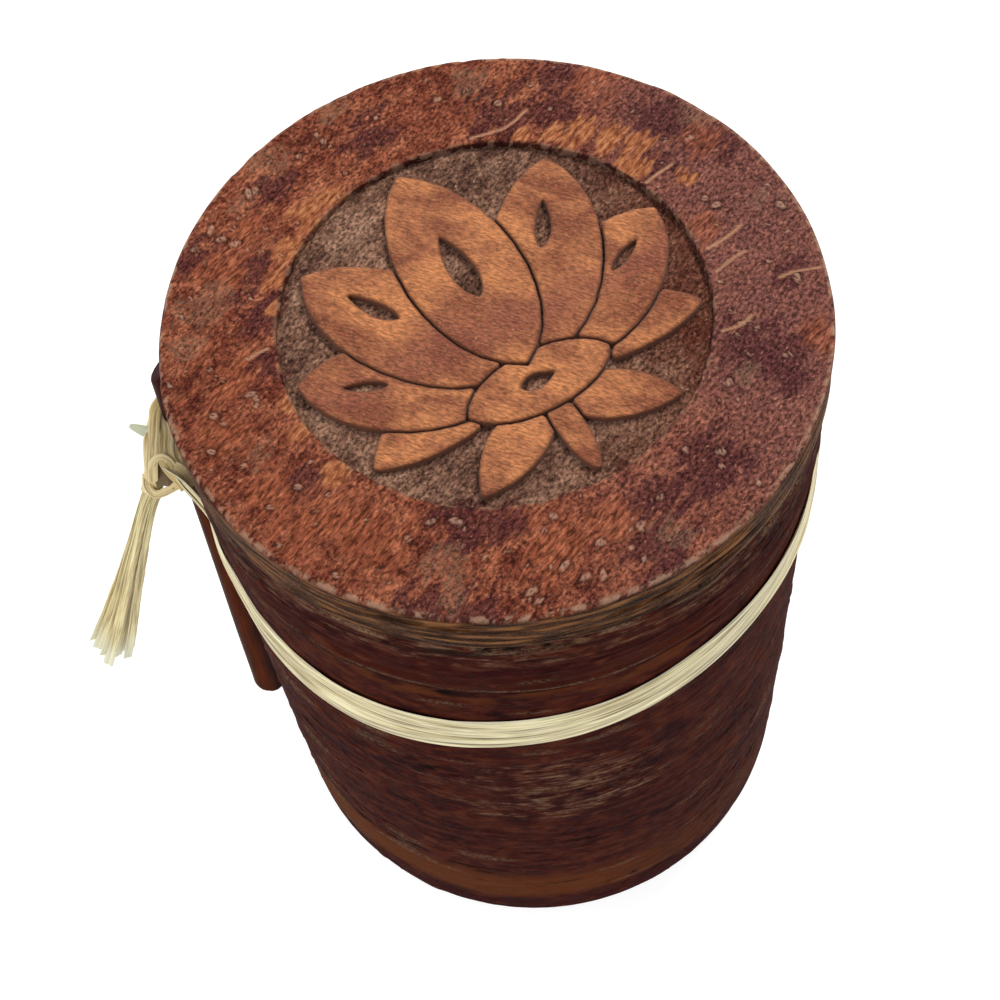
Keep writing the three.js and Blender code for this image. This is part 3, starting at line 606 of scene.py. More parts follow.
def near_line(points, line):
    """Distance from each point to a line through a few places."""
    places = smoothed([(x, y, 0) for x, y in line], 0.3)[:, :2]
    distance = np.full(len(points), 99.0)
    close = np.hypot(points[:, 0] - places[:, 0].mean(), points[:, 1] - places[:, 1].mean()) < 8
    gap = points[close][:, None, :2] - places[None]
    distance[close] = np.sqrt((gap ** 2).sum(2)).min(1)
    return distance


def face_relief(points):
    """The natural skin of the lid's bark: relief in millimetres and the masks that its material reads."""
    turned_points = along_fibre(points)
    fibre = lattice_noise(turned_points, (2.6, 0.55, 2), 201)
    grain = lattice_noise(turned_points, (1.0, 0.62, 2), 202)
    lumps = lattice_noise(points, (2.4, 2.4, 3), 203)
    relief = 0.14 * lattice_noise(points, (15, 15, 9), 204) + 0.07 * lumps + 0.06 * grain
    marks = {name: patches(points, LID_PLACES[name], ragged, 210 + 10 * index, long)
             for index, (name, ragged, long) in enumerate([("lichen", 0.8, 1.0), ("flake", 0.75, 2.2),
                                                           ("purple", 0.9, 1.2), ("fibrous", 0.9, 2.0)])}
    relief += marks["fibrous"] * 0.10 * fibre + marks["lichen"] * 0.08 * grain
    relief -= marks["flake"] * (0.10 - 0.08 * fibre)
    wart, pit, ring = np.zeros(len(points)), np.zeros(len(points)), np.zeros(len(points))
    chance = np.random.default_rng(7)
    near, far = WARTS_BETWEEN
    distances = np.sqrt(chance.uniform(near ** 2, far ** 2, SMALL_WARTS))
    small = [(r * math.cos(a), r * math.sin(a))
             for r, a in zip(distances, chance.uniform(0, 2 * math.pi, SMALL_WARTS))]
    sized = [(x, y, chance.uniform(0.34, 0.50)) for x, y in BIG_WARTS]
    sized += [(x, y, chance.uniform(0.16, 0.28)) for x, y in small]
    for x, y, size in sized:
        long_way = chance.uniform(1.1, 1.9)
        angle = chance.uniform(0, math.pi)
        dx, dy = points[:, 0] - x, points[:, 1] - y
        u = (dx * math.cos(angle) + dy * math.sin(angle)) / long_way
        v = dy * math.cos(angle) - dx * math.sin(angle)
        away = np.hypot(u, v) / size
        around = np.arctan2(v, u)
        torn = away * (1 + 0.14 * np.sin(2 * around + 9 * x) + 0.08 * np.sin(5 * around + 7 * y))
        wart = np.maximum(wart, (1 - eased(torn, 0.6, 1.0)) * eased(away, 0.15, 0.45))
        # The ring mask is painted shade: a dark ring round each wart and in its pit.
        pit = np.maximum(pit, 1 - eased(away, 0.2, 0.5))
        ring = np.maximum(ring, (1 - eased(torn, 1.2, 1.8)) * eased(torn, 0.8, 1.1))
        relief += 0.5 * size * (np.exp(-(away * 1.2) ** 2) - 0.7 * np.exp(-(away * 2.6) ** 2))
    scratch = np.zeros(len(points))
    for line in SCRATCHES:
        scratch = np.maximum(scratch, 1 - eased(near_line(points, line), 0.10, 0.30))
    marks.update(wart=wart, ring=np.maximum(ring, 0.8 * pit), scratch=scratch)
    return relief - 0.08 * scratch - 0.06 * ring, marks


# Face of cinnamon bark: the outer skin, brushed but not varnished. Dense short flecks, pale and dark by
# turns, lie on the slant over purple-brown to rust; the palest dashes are partly painted glints. Tan chips
# show where the skin has flaked off, and lichen leaves dull patches. Painted shade darkens the rings round
# the warts, their pits and the window's inner wall. Real flecks are 0.1 mm wide; they are drawn at 0.4 mm,
# as fine as shows.
def face_material(name, worn_floor):
    material = new_material(name)
    place = add_node(material, "TexCoord").outputs["Object"]
    masks = {mark: add_node(material, "Attribute", attribute_name=mark).outputs["Fac"]
             for mark in ("lichen", "flake", "purple", "fibrous", "wart", "ring", "scratch", "edge", "side",
                          "weathered")}
    slant = (0, 0, math.radians(FIBRE_ANGLE))
    layers = {}
    for layer, size, detail in (("cloud", (0.009, 0.007, 0.008), 5.0),
                                ("blotch", (0.0021, 0.0015, 0.002), 5.0),
                                ("fleck", (0.00062, 0.00042, 0.001), 5.0),
                                ("fibre", (0.0013, 0.00042, 0.001), 5.0),
                                ("grit", (0.00040, 0.00028, 0.0004), 2.0)):
        scaled = add_node(material, "Mapping", {"Vector": place, "Scale": size, "Rotation": slant},
                          vector_type="TEXTURE")
        noise = add_node(material, "TexNoise", {
            "Vector": scaled.outputs[0], "Scale": 1.0, "Detail": detail, "Roughness": 0.62,
            "Distortion": 0.35})
        layers[layer] = noise.outputs["Fac"]
    if worn_floor:
        colours = {"dark": 0x4C342C, "mid": 0x7E5C4C, "light": 0xA6826C, "purple": 0x56302E,
                   "rust": 0x84523E, "fleck": 0xCBB09C, "cool": 0x58281D}
    else:
        colours = {"dark": 0x54261F, "mid": 0x844835, "light": 0xAC6C50, "purple": 0x4C272B,
                   "rust": 0x9C583C, "fleck": 0xD2A27C, "cool": 0x7A504A}
    cloud = add_node(material, "ValToRGB", {"Fac": layers["cloud"]}, stops=[
        (0.36, linear(colours["dark"])), (0.64, linear(colours["light"])), (0.5, linear(colours["mid"]))])
    blotch = add_node(material, "ValToRGB", {"Fac": layers["blotch"]}, stops=[
        (0.40, linear(colours["dark"])), (0.62, linear(colours["light"])), (0.5, linear(colours["mid"]))])
    base = add_node(material, "Mix", {0: 0.5, 6: cloud.outputs[0], 7: blotch.outputs[0]}, data_type="RGBA")
    cooled = add_node(material, "Mix", {
        0: masks["weathered"], 6: base.outputs[2], 7: linear(colours["cool"])}, data_type="RGBA")
    veil = add_node(material, "Math", {0: masks["purple"], 1: 0.72}, operation="MULTIPLY")
    purple = add_node(material, "Mix", {
        0: veil.outputs[0], 6: cooled.outputs[2], 7: linear(colours["purple"])}, data_type="RGBA")
    rusty = add_node(material, "Math", {0: masks["fibrous"], 1: 0.45}, operation="MULTIPLY")
    rust = add_node(material, "Mix", {0: rusty.outputs[0], 6: purple.outputs[2], 7: linear(colours["rust"])},
                    data_type="RGBA")
    torn = add_node(material, "Math", {0: masks["fibrous"], 1: masks["flake"]}, operation="MAXIMUM")
    grain = add_node(material, "Mix", {0: torn.outputs[0], 2: layers["fleck"], 3: layers["fibre"]})
    shade = add_node(material, "MapRange", {"Value": grain.outputs[0], "From Min": 0.39, "From Max": 0.63,
                                            "To Min": 0.36, "To Max": 1.70})
    lined = add_node(material, "VectorMath", {0: rust.outputs[2], "Scale": shade.outputs[0]},
                     operation="SCALE")
    # The pale dashes are partly the flecks' own paleness and partly painted glints on the grit's high
    # points.
    pale = add_node(material, "MapRange", {"Value": grain.outputs[0], "From Min": 0.57, "From Max": 0.66})
    painted_glint = add_node(material, "MapRange", {"Value": layers["grit"], "From Min": 0.54, "From Max": 0.66,
                                            "To Max": 0.8})
    dash = add_node(material, "Math", {0: pale.outputs[0], 1: painted_glint.outputs[0]}, operation="MULTIPLY")
    dashed = add_node(material, "Mix", {
        0: dash.outputs[0], 6: lined.outputs[0], 7: linear(colours["fleck"])}, data_type="RGBA")
    chipped = add_node(material, "ValToRGB", {"Fac": layers["fibre"]}, stops=[
        (0.36, linear(0x703C28)), (0.64, linear(0xC88E62)), (0.5, linear(0xA86644))])
    chips = add_node(material, "Mix", {0: masks["flake"], 6: dashed.outputs[2], 7: chipped.outputs[0]},
                     data_type="RGBA")
    crumbs = add_node(material, "MapRange", {"Value": layers["grit"], "From Min": 0.44, "From Max": 0.60,
                                             "To Min": 0.05, "To Max": 0.55})
    growth = add_node(material, "Math", {0: masks["lichen"], 1: crumbs.outputs[0]}, operation="MULTIPLY")
    lichen = add_node(material, "Mix", {0: growth.outputs[0], 6: chips.outputs[2], 7: linear(0x8C735E)},
                      data_type="RGBA")
    # Painted shade round the warts, in their pits and on the window's inner wall.
    painted_shade = add_node(material, "Math", {0: masks["ring"], 1: 0.75}, operation="MULTIPLY")
    shade_ringed = add_node(material, "Mix", {0: painted_shade.outputs[0], 6: lichen.outputs[2], 7: linear(0x2C1413)},
                      data_type="RGBA")
    tip = add_node(material, "Math", {0: masks["wart"], 1: 0.7}, operation="MULTIPLY")
    tipped = add_node(material, "Mix", {0: tip.outputs[0], 6: shade_ringed.outputs[2], 7: linear(0xC29A84)},
                      data_type="RGBA")
    scraped = add_node(material, "Mix", {0: masks["scratch"], 6: tipped.outputs[2], 7: linear(0xBE8E70)},
                       data_type="RGBA")
    worn = add_node(material, "MapRange", {"Value": layers["blotch"], "From Min": 0.46, "From Max": 0.56,
                                           "To Max": 0.85})
    thin = add_node(material, "Math", {0: masks["edge"], 1: worn.outputs[0]}, operation="MULTIPLY")
    rubbed = add_node(material, "Mix", {0: thin.outputs[0], 6: scraped.outputs[2], 7: linear(0xB08C74)},
                      data_type="RGBA")
    layered = add_node(material, "Mapping", {"Vector": place, "Scale": (0.007, 0.007, 0.00075)},
                       vector_type="TEXTURE")
    layering = add_node(material, "TexNoise", {"Vector": layered.outputs[0], "Scale": 1.0, "Detail": 5.0,
                                               "Roughness": 0.6})
    sawn = add_node(material, "ValToRGB", {"Fac": layering.outputs["Fac"]}, stops=[
        (0.38, linear(0x1E0F07)), (0.63, linear(0x885A34)), (0.51, linear(0x4E2F19))])
    sided = add_node(material, "Mix", {0: masks["side"], 6: rubbed.outputs[2], 7: sawn.outputs[0]},
                     data_type="RGBA")
    height = add_node(material, "Math", {0: grain.outputs[0], 1: layers["grit"]}, operation="ADD")
    relief = add_node(material, "Bump", {"Height": height.outputs[0], "Strength": 1.0, "Distance": 0.0003})
    rough = add_node(material, "MapRange", {"Value": layers["grit"], "From Min": 0.35, "From Max": 0.65,
                                            "To Min": 0.80, "To Max": 0.48})
    shader = add_node(material, "BsdfPrincipled", {
        "Base Color": sided.outputs[2], "Roughness": rough.outputs[0], "Specular IOR Level": 0.04,
        "Normal": relief.outputs[0]})
    add_node(material, "OutputMaterial", {"Surface": shader.outputs[0]})
    return material


face_finish = face_material("cinnamon_bark_face", worn_floor=False)
floor_finish = face_material("cinnamon_bark_recess", worn_floor=True)


def sawn_edge(points, degrees):
    """Relief of the disc's sawn edge: the bark's layers stand out and sink, and gape here and there."""
    relief = 0.11 * lattice_noise(points, (10, 10, 1.5), 301)
    relief += 0.07 * lattice_noise(points, (4, 4, 0.7), 302)
    relief += 0.10 * lattice_noise(points, (22, 22, 9), 303)
    for index, level in enumerate(LAYER_GAPS):
        height = level + 0.55 * lattice_noise(points * (1, 1, 0), (16, 16, 9), 310 + index)
        gape = eased(lattice_noise(points * (1, 1, 0), (12, 12, 9), 320 + index), -0.1, 0.35)
        relief -= 0.38 * gape * (1 - eased(np.abs(points[:, 2] - height), 0.12, 0.42))
    return np.minimum(relief, 0.6 - 0.62 * near_scoop(degrees))


def face_marks(points, marks, side, edge):
    """The masks of the lid's face, kept off its sawn side. It is more weathered towards the right."""
    top = {name: values * (1 - side) for name, values in marks.items()}
    weathered = eased(points[:, 0] + 9 * lattice_noise(points, (12, 12, 12), 351), 0, 34)
    top["weathered"] = 0.8 * weathered * (1 - side)
    return {**top, "side": side, "edge": edge}


rounding = [(LID_RADIUS - RIM_ROUNDING * (1 - math.cos(a)), LID_TOP - RIM_ROUNDING * (1 - math.sin(a)))
            for a in np.radians(np.arange(0, 90, 15))]
field_corners = [(WINDOW_RADIUS, FIELD_BOTTOM), (LID_RADIUS, FIELD_BOTTOM), *rounding,
                 (LID_RADIUS - RIM_ROUNDING, LID_TOP), (WINDOW_RADIUS + WINDOW_EDGE, LID_TOP),
                 (WINDOW_RADIUS + 0.1, LID_TOP - 0.1), (WINDOW_RADIUS, LID_TOP - WINDOW_EDGE)]
field_steps = [3.0, 0.25] + [0.2] * len(rounding) + [FACE_GRAIN, 0.15, 0.15, 0.25]
points, faces, normals, degrees = turned(outline(field_corners, field_steps), 0.3)
radius = np.hypot(points[:, 0], points[:, 1])
relief, marks = face_relief(points)
side = 1 - eased(points[:, 2], LID_TOP - 0.75, LID_TOP - 0.25)
rim = eased(radius, LID_RADIUS - 0.75, LID_RADIUS - 0.45) * (1 - side)
inner_wall = 1 - eased(radius, WINDOW_RADIUS + 0.02, WINDOW_RADIUS + 0.3)
flat = normals[:, 2] > 0.5
chips = eased(lattice_noise(points, (3.5, 3.5, 3.5), 330), 0.35, 0.75)
relief = np.where(flat, relief * (1 - 0.5 * rim), 0)
outer = (normals * points * (1, 1, 0)).sum(1) > 0.3 * radius
relief = relief + np.where(outer, sawn_edge(points, degrees), 0) - 0.22 * chips * rim
wavy = 0.14 * lattice_noise(points * (1, 1, 0), (3.5, 3.5, 3), 331)
wavy += 0.1 * lattice_noise(points * (1, 1, 0), (1.2, 1.2, 3), 332)
inwards = (normals * points * (1, 1, 0)).sum(1) < -0.3 * radius
relief = relief + np.where(inwards, wavy, 0)
edge = rim + 0.5 * (1 - eased(radius, WINDOW_RADIUS + 0.15, WINDOW_RADIUS + 0.5))
# The window's inner wall is painted dark as shade, through the ring mask.
marks["ring"] = np.maximum(marks["ring"], inner_wall)
marks = face_marks(points, marks, side * eased(radius, 35, 36), np.clip(edge, 0, 1))
field = make_piece("bark_lid_face", points + normals * relief[:, None], faces, "lid", face_finish, marks)
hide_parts("lid_field_ring")

ground_corners = [
    (AXIS_HOLE, GROUND_BOTTOM), (LID_RADIUS, GROUND_BOTTOM), (LID_RADIUS, FIELD_BOTTOM),
    (WINDOW_RADIUS + 0.8, FIELD_BOTTOM), (WINDOW_RADIUS + 0.4, GROUND_FACE), (AXIS_HOLE, GROUND_FACE)]
ground_steps = [9.0, 0.3, 5.0, 0.7, 0.30, 9.0]
points, faces, normals, degrees = turned(outline(ground_corners, ground_steps), 0.45)
radius = np.hypot(points[:, 0], points[:, 1])
relief, marks = face_relief(points)
side = eased(radius, LID_RADIUS - 1, LID_RADIUS - 0.5)
outer = (normals * points * (1, 1, 0)).sum(1) > 0.3 * radius
rough_floor = 0.05 * lattice_noise(points, (1.0, 1.0, 1), 340)
rough_floor += 0.03 * lattice_noise(points, (0.6, 0.6, 1), 341)
on_floor = (normals[:, 2] > 0.5) & (radius < WINDOW_RADIUS + 1)
relief = np.where(on_floor, relief + rough_floor, 0) + np.where(outer, sawn_edge(points, degrees), 0)
marks = face_marks(points, {**marks, "flake": 0 * radius}, side, 0 * radius)
ground = make_piece("bark_lid_disc", points + normals * relief[:, None], faces, "lid", floor_finish, marks)
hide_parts("lid_ground_disc")

# Lotus. Eleven flat pieces of scraped bark, cut with a fine fretsaw and glued into the recess, flush with
# the face. Their faces are sanded and feel like suede; the saw left the walls darker and the kerfs between
# them narrow. Painted shade darkens each top where it rounds over into a kerf.
LOTUS_GRAIN = 0.24
LOTUS_FIBRE_ANGLE = FIBRE_ANGLE - 75
KERF_CLOSED = 0.22


# Scraped cinnamon bark, sanded but not varnished: tan and velvety, flecked light and dark on the slant,
# with a redder band across it. Real fibres are 0.1 mm wide; they are drawn at 0.3 mm, as fine as shows.
def scraped_material():
    material = new_material("scraped_cinnamon_bark")
    place = add_node(material, "TexCoord").outputs["Object"]
    wall = add_node(material, "Attribute", attribute_name="wall").outputs["Fac"]
    band = add_node(material, "Attribute", attribute_name="band").outputs["Fac"]
    rim = add_node(material, "Attribute", attribute_name="rim").outputs["Fac"]
    slant = (0, 0, math.radians(LOTUS_FIBRE_ANGLE))
    layers = {}
    for layer, size, detail in (("cloud", (0.008, 0.005, 0.01), 5.0),
                                ("fibre", (0.0009, 0.00030, 0.001), 4.0),
                                ("grit", (0.00042, 0.00026, 0.0004), 3.0)):
        scaled = add_node(material, "Mapping", {"Vector": place, "Scale": size, "Rotation": slant},
                          vector_type="TEXTURE")
        noise = add_node(material, "TexNoise", {
            "Vector": scaled.outputs[0], "Scale": 1.0, "Detail": detail, "Roughness": 0.62,
            "Distortion": 0.3})
        layers[layer] = noise.outputs["Fac"]
    cloud = add_node(material, "ValToRGB", {"Fac": layers["cloud"]}, stops=[
        (0.40, linear(0x844A32)), (0.62, linear(0xC27E50)), (0.5, linear(0xA26543))])
    banded = add_node(material, "Mix", {0: band, 6: cloud.outputs[0], 7: linear(0x84483A)}, data_type="RGBA")
    shade = add_node(material, "MapRange", {"Value": layers["fibre"], "From Min": 0.38, "From Max": 0.64,
                                            "To Min": 0.60, "To Max": 1.40})
    lined = add_node(material, "VectorMath", {0: banded.outputs[2], "Scale": shade.outputs[0]},
                     operation="SCALE")
    fleck = add_node(material, "MapRange", {"Value": layers["grit"], "From Min": 0.55, "From Max": 0.70,
                                            "To Max": 0.42})
    flecked = add_node(material, "Mix", {0: fleck.outputs[0], 6: lined.outputs[0], 7: linear(0xD49E72)},
                       data_type="RGBA")
    # Painted shade on the rounded edge of each top, by how far it tilts.
    painted_edge_shade = add_node(material, "Math", {0: rim, 1: 0.22}, operation="MULTIPLY")
    rounded = add_node(material, "Mix", {0: painted_edge_shade.outputs[0], 6: flecked.outputs[2], 7: linear(0x6A3A26)},
                       data_type="RGBA")
    sawn = add_node(material, "Mix", {0: wall, 6: rounded.outputs[2], 7: linear(0x6A3E28)}, data_type="RGBA")
    height = add_node(material, "Math", {0: layers["fibre"], 1: layers["grit"]}, operation="ADD")
    relief = add_node(material, "Bump", {"Height": height.outputs[0], "Strength": 0.9, "Distance": 0.00018})
    shader = add_node(material, "BsdfPrincipled", {
        "Base Color": sawn.outputs[2], "Roughness": 0.84, "Specular IOR Level": 0.2,
        "Sheen Weight": 0.12, "Sheen Roughness": 0.5, "Normal": relief.outputs[0]})
    add_node(material, "OutputMaterial", {"Surface": shader.outputs[0]})
    return material


scraped_finish = scraped_material()


def remeshed(source, name, grain):
    """A fine, even copy of a solid, with its sharp corners eased a little."""
    copy = bpy.data.objects.new(name, source.data.copy())
    copy.data.materials.clear()
    scene.collection.objects.link(copy)
    remesh = copy.modifiers.new("remesh", "REMESH")
    remesh.mode = "VOXEL"
    remesh.voxel_size = grain / 1000
    ease = copy.modifiers.new("ease", "SMOOTH")
    ease.factor, ease.iterations = 0.5, 2
    bpy.context.view_layer.update()
    mesh = bpy.data.meshes.new_from_object(copy.evaluated_get(bpy.context.evaluated_depsgraph_get()))
    bpy.data.objects.remove(copy)
    mesh.name = name
    return mesh


def vertex_rows(mesh, what):
    """The places or normals of the mesh's vertices, a row for each."""
    values = np.empty(len(mesh.vertices) * 3)
    mesh.vertices.foreach_get(what, values)
    return values.reshape(-1, 3)


def reshaped_piece(mesh, points, body, material, marks):
    """A smooth piece on its body, made of the mesh with its vertices moved to the points."""
    add_marks(mesh, marks)
    mesh.vertices.foreach_set("co", (points / 1000).ravel())
    mesh.shade_smooth()
    mesh.materials.append(material)
    piece = bpy.data.objects.new(mesh.name, mesh)
    scene.collection.objects.link(piece)
    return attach(piece, body)


lotus_nodes = sorted(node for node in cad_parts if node.startswith("lotus_"))
for index, node in enumerate(lotus_nodes):
    mesh = remeshed(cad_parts[node], node + "_cut", LOTUS_GRAIN)
    points, normals = vertex_rows(mesh, "co") * 1000, vertex_rows(mesh, "normal")
    upward = normals[:, 2]
    top = eased(upward, 0.3, 0.85) * eased(points[:, 2], LID_TOP - 0.8, LID_TOP - 0.4)
    points[:, :2] += KERF_CLOSED * normals[:, :2] * (1 - eased(np.abs(upward), 0.2, 0.9))[:, None]
    points[:, :2] += (1 - top)[:, None] * 0.06 * np.stack([
        lattice_noise(points, (1.6, 1.6, 3), 411), lattice_noise(points, (1.6, 1.6, 3), 412)], 1)
    turned_points = along_fibre(points, LOTUS_FIBRE_ANGLE)
    rise = 0.05 * lattice_noise(turned_points, (1.8, 0.55, 2), 401)
    rise += 0.10 * lattice_noise(points, (9, 9, 9), 402)
    rise += 0.05 * lattice_noise(points, (2.4, 2.4, 3), 403) + 0.05 * math.sin(2.4 * index)
    points[:, 2] += top * rise
    middle = along_fibre(points, 20)
    band = eased(5.2 - np.abs(middle[:, 1] + 1.5 + 1.5 * lattice_noise(points, (7, 7, 7), 404)), 0, 5)
    # The rim mark is painted shade, by how far the surface tilts from facing up.
    wall, rim = 1 - eased(upward, 0.1, 0.6), 1 - eased(upward, 0.7, 0.98)
    marks = {"wall": wall, "band": 0.62 * band, "rim": rim}
    leaf = reshaped_piece(mesh, points, "lid", scraped_finish, marks)
    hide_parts(node)

# Scoop. A narrow stick split from smooth inner bark, hollowed along its hidden back, its ends rounded with a
# knife and rubbed until it shines. It stands edge on against the wall and leans to the back; the tie holds
# it there.
SCOOP_GAP = 0.1
SCOOP_INNER = LID_RADIUS + SCOOP_GAP
SCOOP_DEPTH = 6.1
SCOOP_THICKNESS = 4.2
SCOOP_LENGTH = 89
SCOOP_TILT = 6.5
SCOOP_BELOW_DISC = 9.7
SCOOP_TOP = GROUND_BOTTOM - SCOOP_BELOW_DISC
SCOOP_MIDDLE = SCOOP_TOP - SCOOP_LENGTH / 2 * math.cos(math.radians(SCOOP_TILT))
SCOOP_BEND = SCOOP_INNER + SCOOP_DEPTH - SCOOP_THICKNESS / 2
SCOOP_GRAIN = 0.32
FOOT_TRIM = 3.8
TRIM_REACH = (8, 42)
FOOT_LOBES = (11.5, 15.5)
UPPER_END = (78, 96)


def scoop_turn(height):
    """The angle at which the leaning scoop stands at this height."""
    lean = (height - SCOOP_MIDDLE) * math.tan(math.radians(SCOOP_TILT))
    return SCOOP_ANGLE - math.degrees(math.atan2(lean, SCOOP_BEND))


# Inner bark, rubbed smooth: dark red-brown with a satin shine, redder at its upper end. Across its face
# light and shade are painted: a lit stripe towards its outer edge, painted shade beside the wall and at the
# outer edge itself. Real lines are 0.2 mm apart; they are drawn at 0.7 mm, so that they show.
def scoop_material():
    material = new_material("rubbed_cinnamon_stick")
    place = add_node(material, "TexCoord").outputs["Object"]
    across = add_node(material, "Attribute", attribute_name="across").outputs["Fac"]
    ends = add_node(material, "Attribute", attribute_name="upper_end").outputs["Fac"]
    layers = {}
    for layer, size in (("cloud", (0.004, 0.004, 0.022)), ("line", (0.0007, 0.0007, 0.016)),
                        ("grit", (0.0005, 0.0005, 0.0015))):
        scaled = add_node(material, "Mapping", {"Vector": place, "Scale": size}, vector_type="TEXTURE")
        noise = add_node(material, "TexNoise", {
            "Vector": scaled.outputs[0], "Scale": 1.0, "Detail": 3.0, "Roughness": 0.6})
        layers[layer] = noise.outputs["Fac"]
    wander = add_node(material, "MapRange", {"Value": layers["cloud"], "From Min": 0.3, "From Max": 0.7,
                                             "To Min": -0.12, "To Max": 0.12})
    zone = add_node(material, "Math", {0: across, 1: wander.outputs[0]}, operation="ADD")
    painted_light_and_shade = add_node(material, "ValToRGB", {"Fac": zone.outputs[0]}, stops=[
        (0.0, linear(0x200E06)), (1.0, linear(0x2E1A06)), (0.30, linear(0x321208)), (0.62, linear(0x582206)),
        (0.84, linear(0x441B05))])
    shade = add_node(material, "MapRange", {"Value": layers["line"], "From Min": 0.35, "From Max": 0.65,
                                            "To Min": 0.72, "To Max": 1.25})
    lined = add_node(material, "VectorMath", {0: painted_light_and_shade.outputs[0], "Scale": shade.outputs[0]},
                     operation="SCALE")
    darker = add_node(material, "Mix", {0: ends, 6: lined.outputs[0], 7: linear(0x341619)}, data_type="RGBA")
    relief = add_node(material, "Bump", {"Height": layers["line"], "Strength": 0.5, "Distance": 0.0001})
    shader = add_node(material, "BsdfPrincipled", {
        "Base Color": darker.outputs[2], "Roughness": 0.42, "Specular IOR Level": 0.015,
        "Normal": relief.outputs[0]})
    add_node(material, "OutputMaterial", {"Surface": shader.outputs[0]})
    return material


mesh = remeshed(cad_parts["bark_scoop"], "bark_stick", SCOOP_GRAIN)
points, normals = vertex_rows(mesh, "co") * 1000, vertex_rows(mesh, "normal")
share_across = (points @ polar(1, SCOOP_ANGLE, 0) - SCOOP_INNER) / SCOOP_DEPTH
foot = 1 - eased(points[:, 2], *FOOT_LOBES)
lobes = 0.45 * np.cos(2 * np.pi * (share_across * 1.25 - 0.65)) * foot
points += normals * (0.10 * lattice_noise(points, (2.2, 2.2, 26), 601) - 0.08)[:, None]
points[:, 2] -= lobes
stick_line = polar(SCOOP_BEND, scoop_turn(40), 40) - polar(SCOOP_BEND, scoop_turn(10), 10)
trimmed = FOOT_TRIM * (1 - eased(points[:, 2], *TRIM_REACH))
points += trimmed[:, None] * stick_line / np.linalg.norm(stick_line)
# The across mark places the painted light and shade across the stick's face.
marks = {"across": np.clip(share_across, 0, 1), "upper_end": 0.85 * eased(points[:, 2], *UPPER_END)}
stick = reshaped_piece(mesh, points, "scoop", scoop_material(), marks)
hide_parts("bark_scoop")

# Raffia tie. One long ribbon is wound four times round the box and over the scoop, each turn beside the
# last, and its end crosses back over them to the knot, which draws the turns together. It lies flat, so
# closer than a cord.
TURNS = 4
STRAND_PITCH = 1.9
WALL_STEPS = 27
TIE_SPREADS = [(-0.55, 354, 36), (0.36, 234, 22)]
RIBBON_STAND_OFF = 0.35
RIBBON_WIDTH = 2.35
RIBBON_THICKNESS = 0.32
RIBBON_CUP = 0.10
RIBBON_SIDES = 26
RIBBON_GRAIN = 0.8

# The end rises over the turns, crosses them and comes down again between these angles.
CROSSING_LIFT = 0.7
CROSSING = [98, 128, 156, 172]

# Heights to which the knot draws the ribbon each time it comes by. Beside the scoop, NEAR_KNOT gives the
# ribbon's turn past the scoop and its distance from the axis.
DRAWN_TOGETHER = [88.6, 87.0, 85.4, 83.8, 87.8]
DRAWN_REACH = 22
DRAWN_TIGHT = 0.45
NEAR_KNOT = [(4.6, 48.1), (9.6, 46.2), (12.6, 44.7), (16.1, 42.8), (18.6, 41.9), (22.0, 41.8), (26.0, 41.8)]

# The knot's place and size. The turns stop CLEAR_OF_KNOT degrees short of it, and the ribbon's two ends
# lie inside it.
KNOT_ANGLE = 179
KNOT_ABOVE_TIE = 1.6
KNOT_HEIGHT = TIE_HEIGHT + KNOT_ABOVE_TIE
KNOT_SIZE = 0.8
KNOT_STRAND = 1.2
KNOT_STAND_OFF = 1.3
STRAND_STAND_OFF = 0.8
CLEAR_OF_KNOT = 2
RIBBON_START = (-0.9, 0.4, 1.2)
RIBBON_END = (-0.9, -0.4, 0.9)


def strand_bend(stand_off):
    """How a taut strand rounds the scoop's outer edge: its bend, and the half turns of span and bend."""
    bend = SCOOP_THICKNESS / 2 + stand_off
    wall_turn = math.acos((BODY_RADIUS + stand_off - bend) / SCOOP_BEND)
    bend_turn = math.atan2(bend * math.sin(wall_turn), SCOOP_BEND + bend * math.cos(wall_turn))
    return bend, math.degrees(wall_turn), math.degrees(bend_turn)


def strand_radius(degrees, height, stand_off):
    """Distance from the axis of a taut strand round the wall and over the scoop."""
    bend, wall_turn, bend_turn = strand_bend(stand_off)
    away = turn_between(degrees, scoop_turn(height))
    if away <= bend_turn:
        turn = math.radians(away)
        along, aside = SCOOP_BEND * math.cos(turn), SCOOP_BEND * math.sin(turn)
        return along + math.sqrt(bend ** 2 - aside ** 2)
    return (BODY_RADIUS + stand_off) / math.cos(math.radians(max(wall_turn - away, 0)))


KNOT_RADIUS = strand_radius(KNOT_ANGLE, KNOT_HEIGHT, STRAND_STAND_OFF)
KNOT_RADIUS += KNOT_STAND_OFF + KNOT_STRAND / 2 + KNOT_SIZE
KNOT_CENTRE = polar(KNOT_RADIUS, KNOT_ANGLE, KNOT_HEIGHT)
OUTWARD = polar(1, KNOT_ANGLE, 0)
SIDEWAYS = polar(1, KNOT_ANGLE + 90, 0)
UPWARD = np.array([0.0, 0.0, 1.0])


def from_knot(out, along, up):
    """A place given from the knot's middle: outwards, along the wall towards the front, and up."""
    return KNOT_CENTRE + out * OUTWARD + along * SIDEWAYS + up * UPWARD


